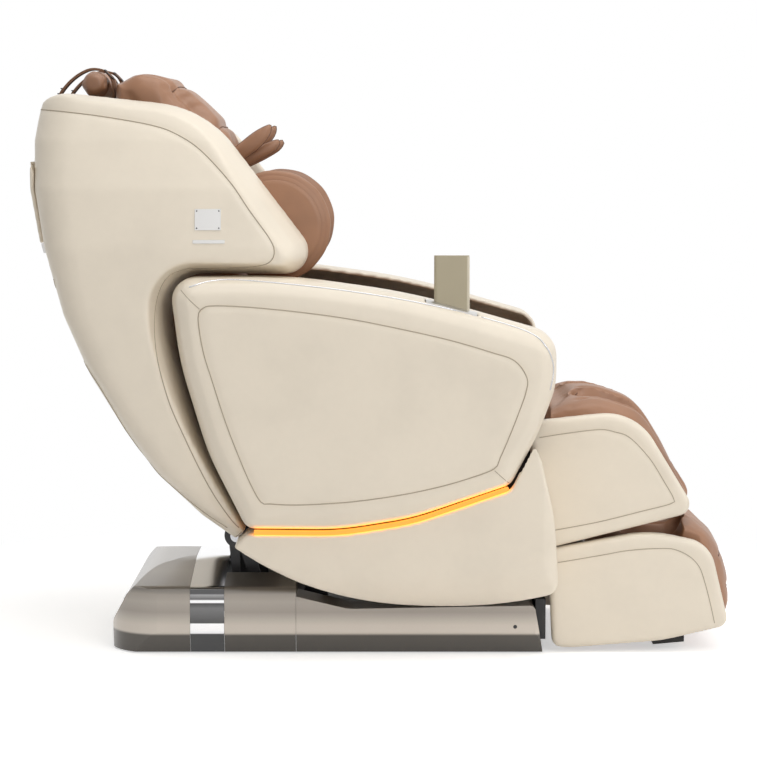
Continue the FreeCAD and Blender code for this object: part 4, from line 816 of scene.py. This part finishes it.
def petals():
    """Lens shaped flaps beside the neck, piped round their widest line."""
    verts, faces, rims = [], [], []
    levels = [math.sin(math.radians(angle)) for angle in range(-84, 85, 14)]
    for side in (-1, 1):
        for middle, outline in PETALS:
            spots = smooth_line([(x, 0, z) for x, z in outline], 0.005, closed=True)
            centre = sum(spots, Vector()) / len(spots)
            place = Vector((0, side * abs(middle), 0))
            ring = len(spots)
            start = len(verts)
            for level in levels:
                scale = (1 - abs(level) ** 2.4) ** 0.5
                for spot in spots:
                    verts.append(centre + (spot - centre) * scale + place + Vector((0, 0.011 * level, 0)))
            for row in range(len(levels) - 1):
                for k in range(ring):
                    a, b = start + row * ring + k, start + row * ring + (k + 1) % ring
                    faces.append((a, b, b + ring, a + ring))
            faces.append(tuple(start + k for k in range(ring - 1, -1, -1)))
            faces.append(tuple(start + (len(levels) - 1) * ring + k for k in range(ring)))
            rims.append([spot + place for spot in spots + spots[:1]])
    thing = made_of("pad_petals", verts, faces, "brown_leather", 60)
    dress(thing, "ear_pads")
    tube("petal_piping", rims, 0.0011, "brown_seam", "backrest")


def made_of(name, verts, faces, material, angle=40):
    mesh = bpy.data.meshes.new(name)
    mesh.from_pydata([tuple(spot) for spot in verts], [], faces)
    mesh.materials.append(MATERIALS[material])
    thing = bpy.data.objects.new(name, mesh)
    SCENE.collection.objects.link(thing)
    smooth_by_angle(thing, angle)
    return thing


CALF_SIDE = ((0.350, 0.545), (0.390, 0.560), (0.450, 0.560), (0.510, 0.535), (0.560, 0.480), (0.610, 0.400),
             (0.660, 0.325))


def leg_pads():
    calf = cushion("calf_cushion", (0.7, 0, 0.7), voxel=0.007, cap=0.012, shrink=0.005)
    along = [[Vector((x, y, z)) for x, z in CALF_SIDE] for y in (-0.205, -0.045, 0.045, 0.205)]
    channels(calf, "calf_seams", along, (0.7, 0, 0.7), "legrest", 0.006, 0.008)
    across = []
    for x, z in ((0.43, 0.54), (0.52, 0.50), (0.58, 0.43), (0.63, 0.36)):
        for side in (-1, 1):
            across.append([Vector((x, side * (0.068 + 0.100 * i / 20), z)) for i in range(21)])
    channels(calf, "calf_channels", across, (0.7, 0, 0.7), "legrest", 0.006, 0.009)
    foot = cushion("foot_cushion", (0.6, 0, 0.8), voxel=0.007, cap=0.010, shrink=0.005)
    lines = [span_y(lambda y: Vector((0.735, y, z)), 0.205, 30) for z in (0.20, 0.13, 0.075)]
    channels(foot, "foot_channels", lines, (1, 0, 0.25), "footrest", 0.003, 0.007)


def shoulder_discs():
    """Round padded discs with piped rims, turned about an axis across the chair."""
    centre = (-0.228, 0.900)
    radius = 0.118
    base = 0.2557
    steps = [(0, 0.118), (0, 0.030), (0.0008, 0.0245), (0.0030, 0.0205), (0.0055, 0.0205), (0.0066, 0.0235),
             (0.0078, 0.0160), (0.0100, 0.0110), (0.0125, 0.0112), (0.0136, 0.0140), (0.0150, 0.0062),
             (0.0175, 0.0015), (0.0205, 0.0006), (0.0240, 0.0030), (0.0290, 0.0090), (0.0360, 0.0170),
             (0.0440, 0.0270), (0.0500, 0.0420), (0.0540, 0.0620), (0.0562, 0.0860), (0.0570, 0.118)]
    profile = [(base - deep, radius - short) for deep, short in steps]
    count = 96
    verts, faces = [], []
    for side in (-1, 1):
        start = len(verts)
        for y, r in profile:
            for k in range(count):
                turn = 2 * math.pi * k / count
                wave = 1 + 0.003 * math.sin(12 * turn)
                verts.append((centre[0] + r * wave * math.cos(turn), side * y,
                              centre[1] + r * wave * math.sin(turn)))
        for ring in range(len(profile) - 1):
            for k in range(count):
                a = start + ring * count + k
                b = start + ring * count + (k + 1) % count
                quad = (a, b, b + count, a + count)
                faces.append(quad if side > 0 else quad[::-1])
    mesh = bpy.data.meshes.new("pad_shoulder_discs")
    mesh.from_pydata(verts, [], faces)
    mesh.materials.append(MATERIALS["brown_leather"])
    thing = bpy.data.objects.new("pad_shoulder_discs", mesh)
    SCENE.collection.objects.link(thing)
    merge(thing)
    smooth_by_angle(thing, 60)
    dress(thing, "shoulder_pads")
    rings = []
    for side in (-1, 1):
        for y, r in ((base - 0.0066, radius - 0.0225), (base - 0.0136, radius - 0.0130)):
            turns = [2 * math.pi * k / count for k in range(count + 1)]
            rings.append([Vector((centre[0] + r * math.cos(turn), side * y, centre[1] + r * math.sin(turn)))
                          for turn in turns])
    tube("shoulder_piping", rings, 0.0011, "brown_seam", "backrest")


def merge(thing, distance=0.00005):
    """Joins points that lie together."""
    weld = thing.modifiers.new("weld", "WELD")
    weld.merge_threshold = distance
    evaluated(thing)


# Straps and small fittings


def ribbon(name, path, y, half, thick, material, body):
    """A flat strap along a path seen from the side, with raised stitched edges."""
    spots = smooth_line([(x, 0, z) for x, z in path], 0.004)
    verts, faces = [], []
    section = [
        (-half, 0), (-half, thick), (-half + 0.003, thick * 1.25), (-half + 0.005, thick),
        (half - 0.005, thick), (half - 0.003, thick * 1.25), (half, thick), (half, 0),
    ]
    for index, spot in enumerate(spots):
        ahead = spots[min(index + 1, len(spots) - 1)] - spots[max(index - 1, 0)]
        normal = Vector((-ahead.z, 0, ahead.x)).normalized()
        for across, lift in section:
            verts.append(spot + Vector((0, y + across, 0)) + normal * (lift - thick))
    ring = len(section)
    for index in range(len(spots) - 1):
        for k in range(ring):
            a, b = index * ring + k, index * ring + (k + 1) % ring
            faces.append((a, b, b + ring, a + ring))
    faces.append(tuple(range(ring)))
    faces.append(tuple(range(len(verts) - 1, len(verts) - 1 - ring, -1)))
    thing = made_of(name, verts, faces, material)
    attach(thing, body)
    return thing


def straps():
    """Two straps over the roll, with wire hooks at their rear ends and a buckle in front."""
    loop = [
        (-0.700, 1.166), (-0.689, 1.186), (-0.672, 1.206), (-0.652, 1.222), (-0.630, 1.2325),
        (-0.610, 1.2335), (-0.592, 1.2275), (-0.580, 1.214), (-0.5755, 1.196), (-0.5750, 1.168),
    ]
    for y in STRAP_SPOTS:
        word = "right" if y < 0 else "left"
        strap = ribbon(f"strap_{word}", loop, y, 0.018, 0.0042, "strap_web", "backrest")
        wires = []
        for x, z in ((-0.6935, 1.179), (-0.6865, 1.190)):
            wires.append([Vector((x + dx, y + dy, z + dz)) for dx, dy, dz in
                          ((0, -0.019, 0), (-0.002, -0.019, 0.001), (-0.0025, 0, 0.0015), (-0.002, 0.019, 0.001),
                           (0, 0.019, 0))])
        wires.append([Vector((-0.587 + dx, y + dy, 1.224 + dz)) for dx, dy, dz in
                      ((-0.008, -0.021, 0.006), (0.008, -0.021, -0.010), (0.008, 0.021, -0.010),
                       (-0.008, 0.021, 0.006), (-0.008, -0.021, 0.006))])
        tube(f"strap_wires_{word}", [smooth_line(w, 0.003) for w in wires], 0.0014, "dark_metal", "backrest")
    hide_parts("pillow_straps")
    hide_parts("pillow_straps")


def rounded_box(name, low, high, radius, material, body, segments=3):
    low, high = Vector(low), Vector(high)
    mesh = bpy.data.meshes.new(name)
    corners = [(x, y, z) for x in (low.x, high.x) for y in (low.y, high.y) for z in (low.z, high.z)]
    faces = [(0, 1, 3, 2), (4, 6, 7, 5), (0, 4, 5, 1), (2, 3, 7, 6), (0, 2, 6, 4), (1, 5, 7, 3)]
    mesh.from_pydata(corners, [], faces)
    mesh.materials.append(MATERIALS[material])
    thing = bpy.data.objects.new(name, mesh)
    SCENE.collection.objects.link(thing)
    bevel = thing.modifiers.new("bevel", "BEVEL")
    bevel.width = radius
    bevel.segments = segments
    evaluated(thing)
    smooth_by_angle(thing, 40)
    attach(thing, body)
    return thing


def remote():
    """The handset's case, its lighter side band and its keys."""
    body = copy_of("remote_body", "remote_case", "khaki_plastic")
    bevel = body.modifiers.new("bevel", "BEVEL")
    bevel.width = 0.0028
    bevel.segments = 3
    bevel.limit_method = "ANGLE"
    bevel.angle_limit = math.radians(50)
    evaluated(body)
    smooth_by_angle(body, 40)
    dress(body, "remote_body")
    low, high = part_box("remote_body")
    rounded_box("remote_side_band", (high.x - 0.0060, low.y - 0.0003, low.z + 0.004),
                (high.x + 0.0004, high.y - 0.006, high.z - 0.002), 0.0022, "khaki_light", "remote")
    middle = (low.x + high.x) / 2
    for row in range(2):
        for column in range(3):
            x = middle + (column - 1) * 0.018
            z = low.z + 0.010 + row * 0.010
            rounded_box(f"remote_key_{row}_{column}", (x - 0.006, high.y - 0.0006, z - 0.0035),
                        (x + 0.006, high.y + 0.0004, z + 0.0035), 0.0009, "khaki_light", "remote")


def fittings():
    """Rivets on the bare plates and screws in the base's covers."""
    verts, faces = [], []

    def dome(spot, axis, radius, rise, sides=16):
        turn = Vector(axis).normalized().to_track_quat("Z", "Y").to_matrix()
        start = len(verts)
        rings = [(1.0, 0.0), (0.96, 0.35), (0.8, 0.7), (0.45, 0.95)]
        for share, lift in rings:
            for k in range(sides):
                angle = 2 * math.pi * k / sides
                verts.append(Vector(spot) + turn @ Vector((radius * share * math.cos(angle),
                                                           radius * share * math.sin(angle), rise * lift)))
        for ring in range(len(rings) - 1):
            for k in range(sides):
                a = start + ring * sides + k
                b = start + ring * sides + (k + 1) % sides
                faces.append((a, b, b + sides, a + sides))
        faces.append(tuple(start + (len(rings) - 1) * sides + k for k in range(sides)))

    tree = tree_of([NODES["badge_plates"]])
    for side in (-1, 1):
        for x in (-0.381, -0.336):
            for z in (0.901, 0.936):
                hit, normal, _, _ = tree.ray_cast(Vector((x, side, z)), Vector((0, -side, 0)))
                if hit is not None:
                    dome(hit, normal, 0.0016, 0.0007, 12)
    rivets = made_of("plate_rivets", verts, faces, "dark_metal")
    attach(rivets, "backrest")
    verts.clear()
    faces.clear()
    for side in (-1, 1):
        dome((0.278, side * 0.2998, 0.059), (0, side, 0), 0.0042, 0.0016)
    screws = made_of("cover_screws", verts, faces, "dark_metal")
    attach(screws, "base")


def light_stage():
    """Camera, world, floor and three soft lamps."""
    add_camera()
    add_world()
    add_floor()
    add_area("top", (0.5, -0.6, 3.6), (0, 0, 0.5), (3.4, 2.6), 54)
    add_area("front", (2.2, -4.4, 2.6), (0, 0, 0.6), (2.2, 2.2), 58)
    add_area("nose", (3.6, -0.6, 1.8), (0, 0, 0.5), (1.6, 1.8), 16)


light_stage()
dress_cad()
shells()
seat_pads()
head_pads()
leg_pads()
petals()
shoulder_discs()
straps()
remote()
fittings()
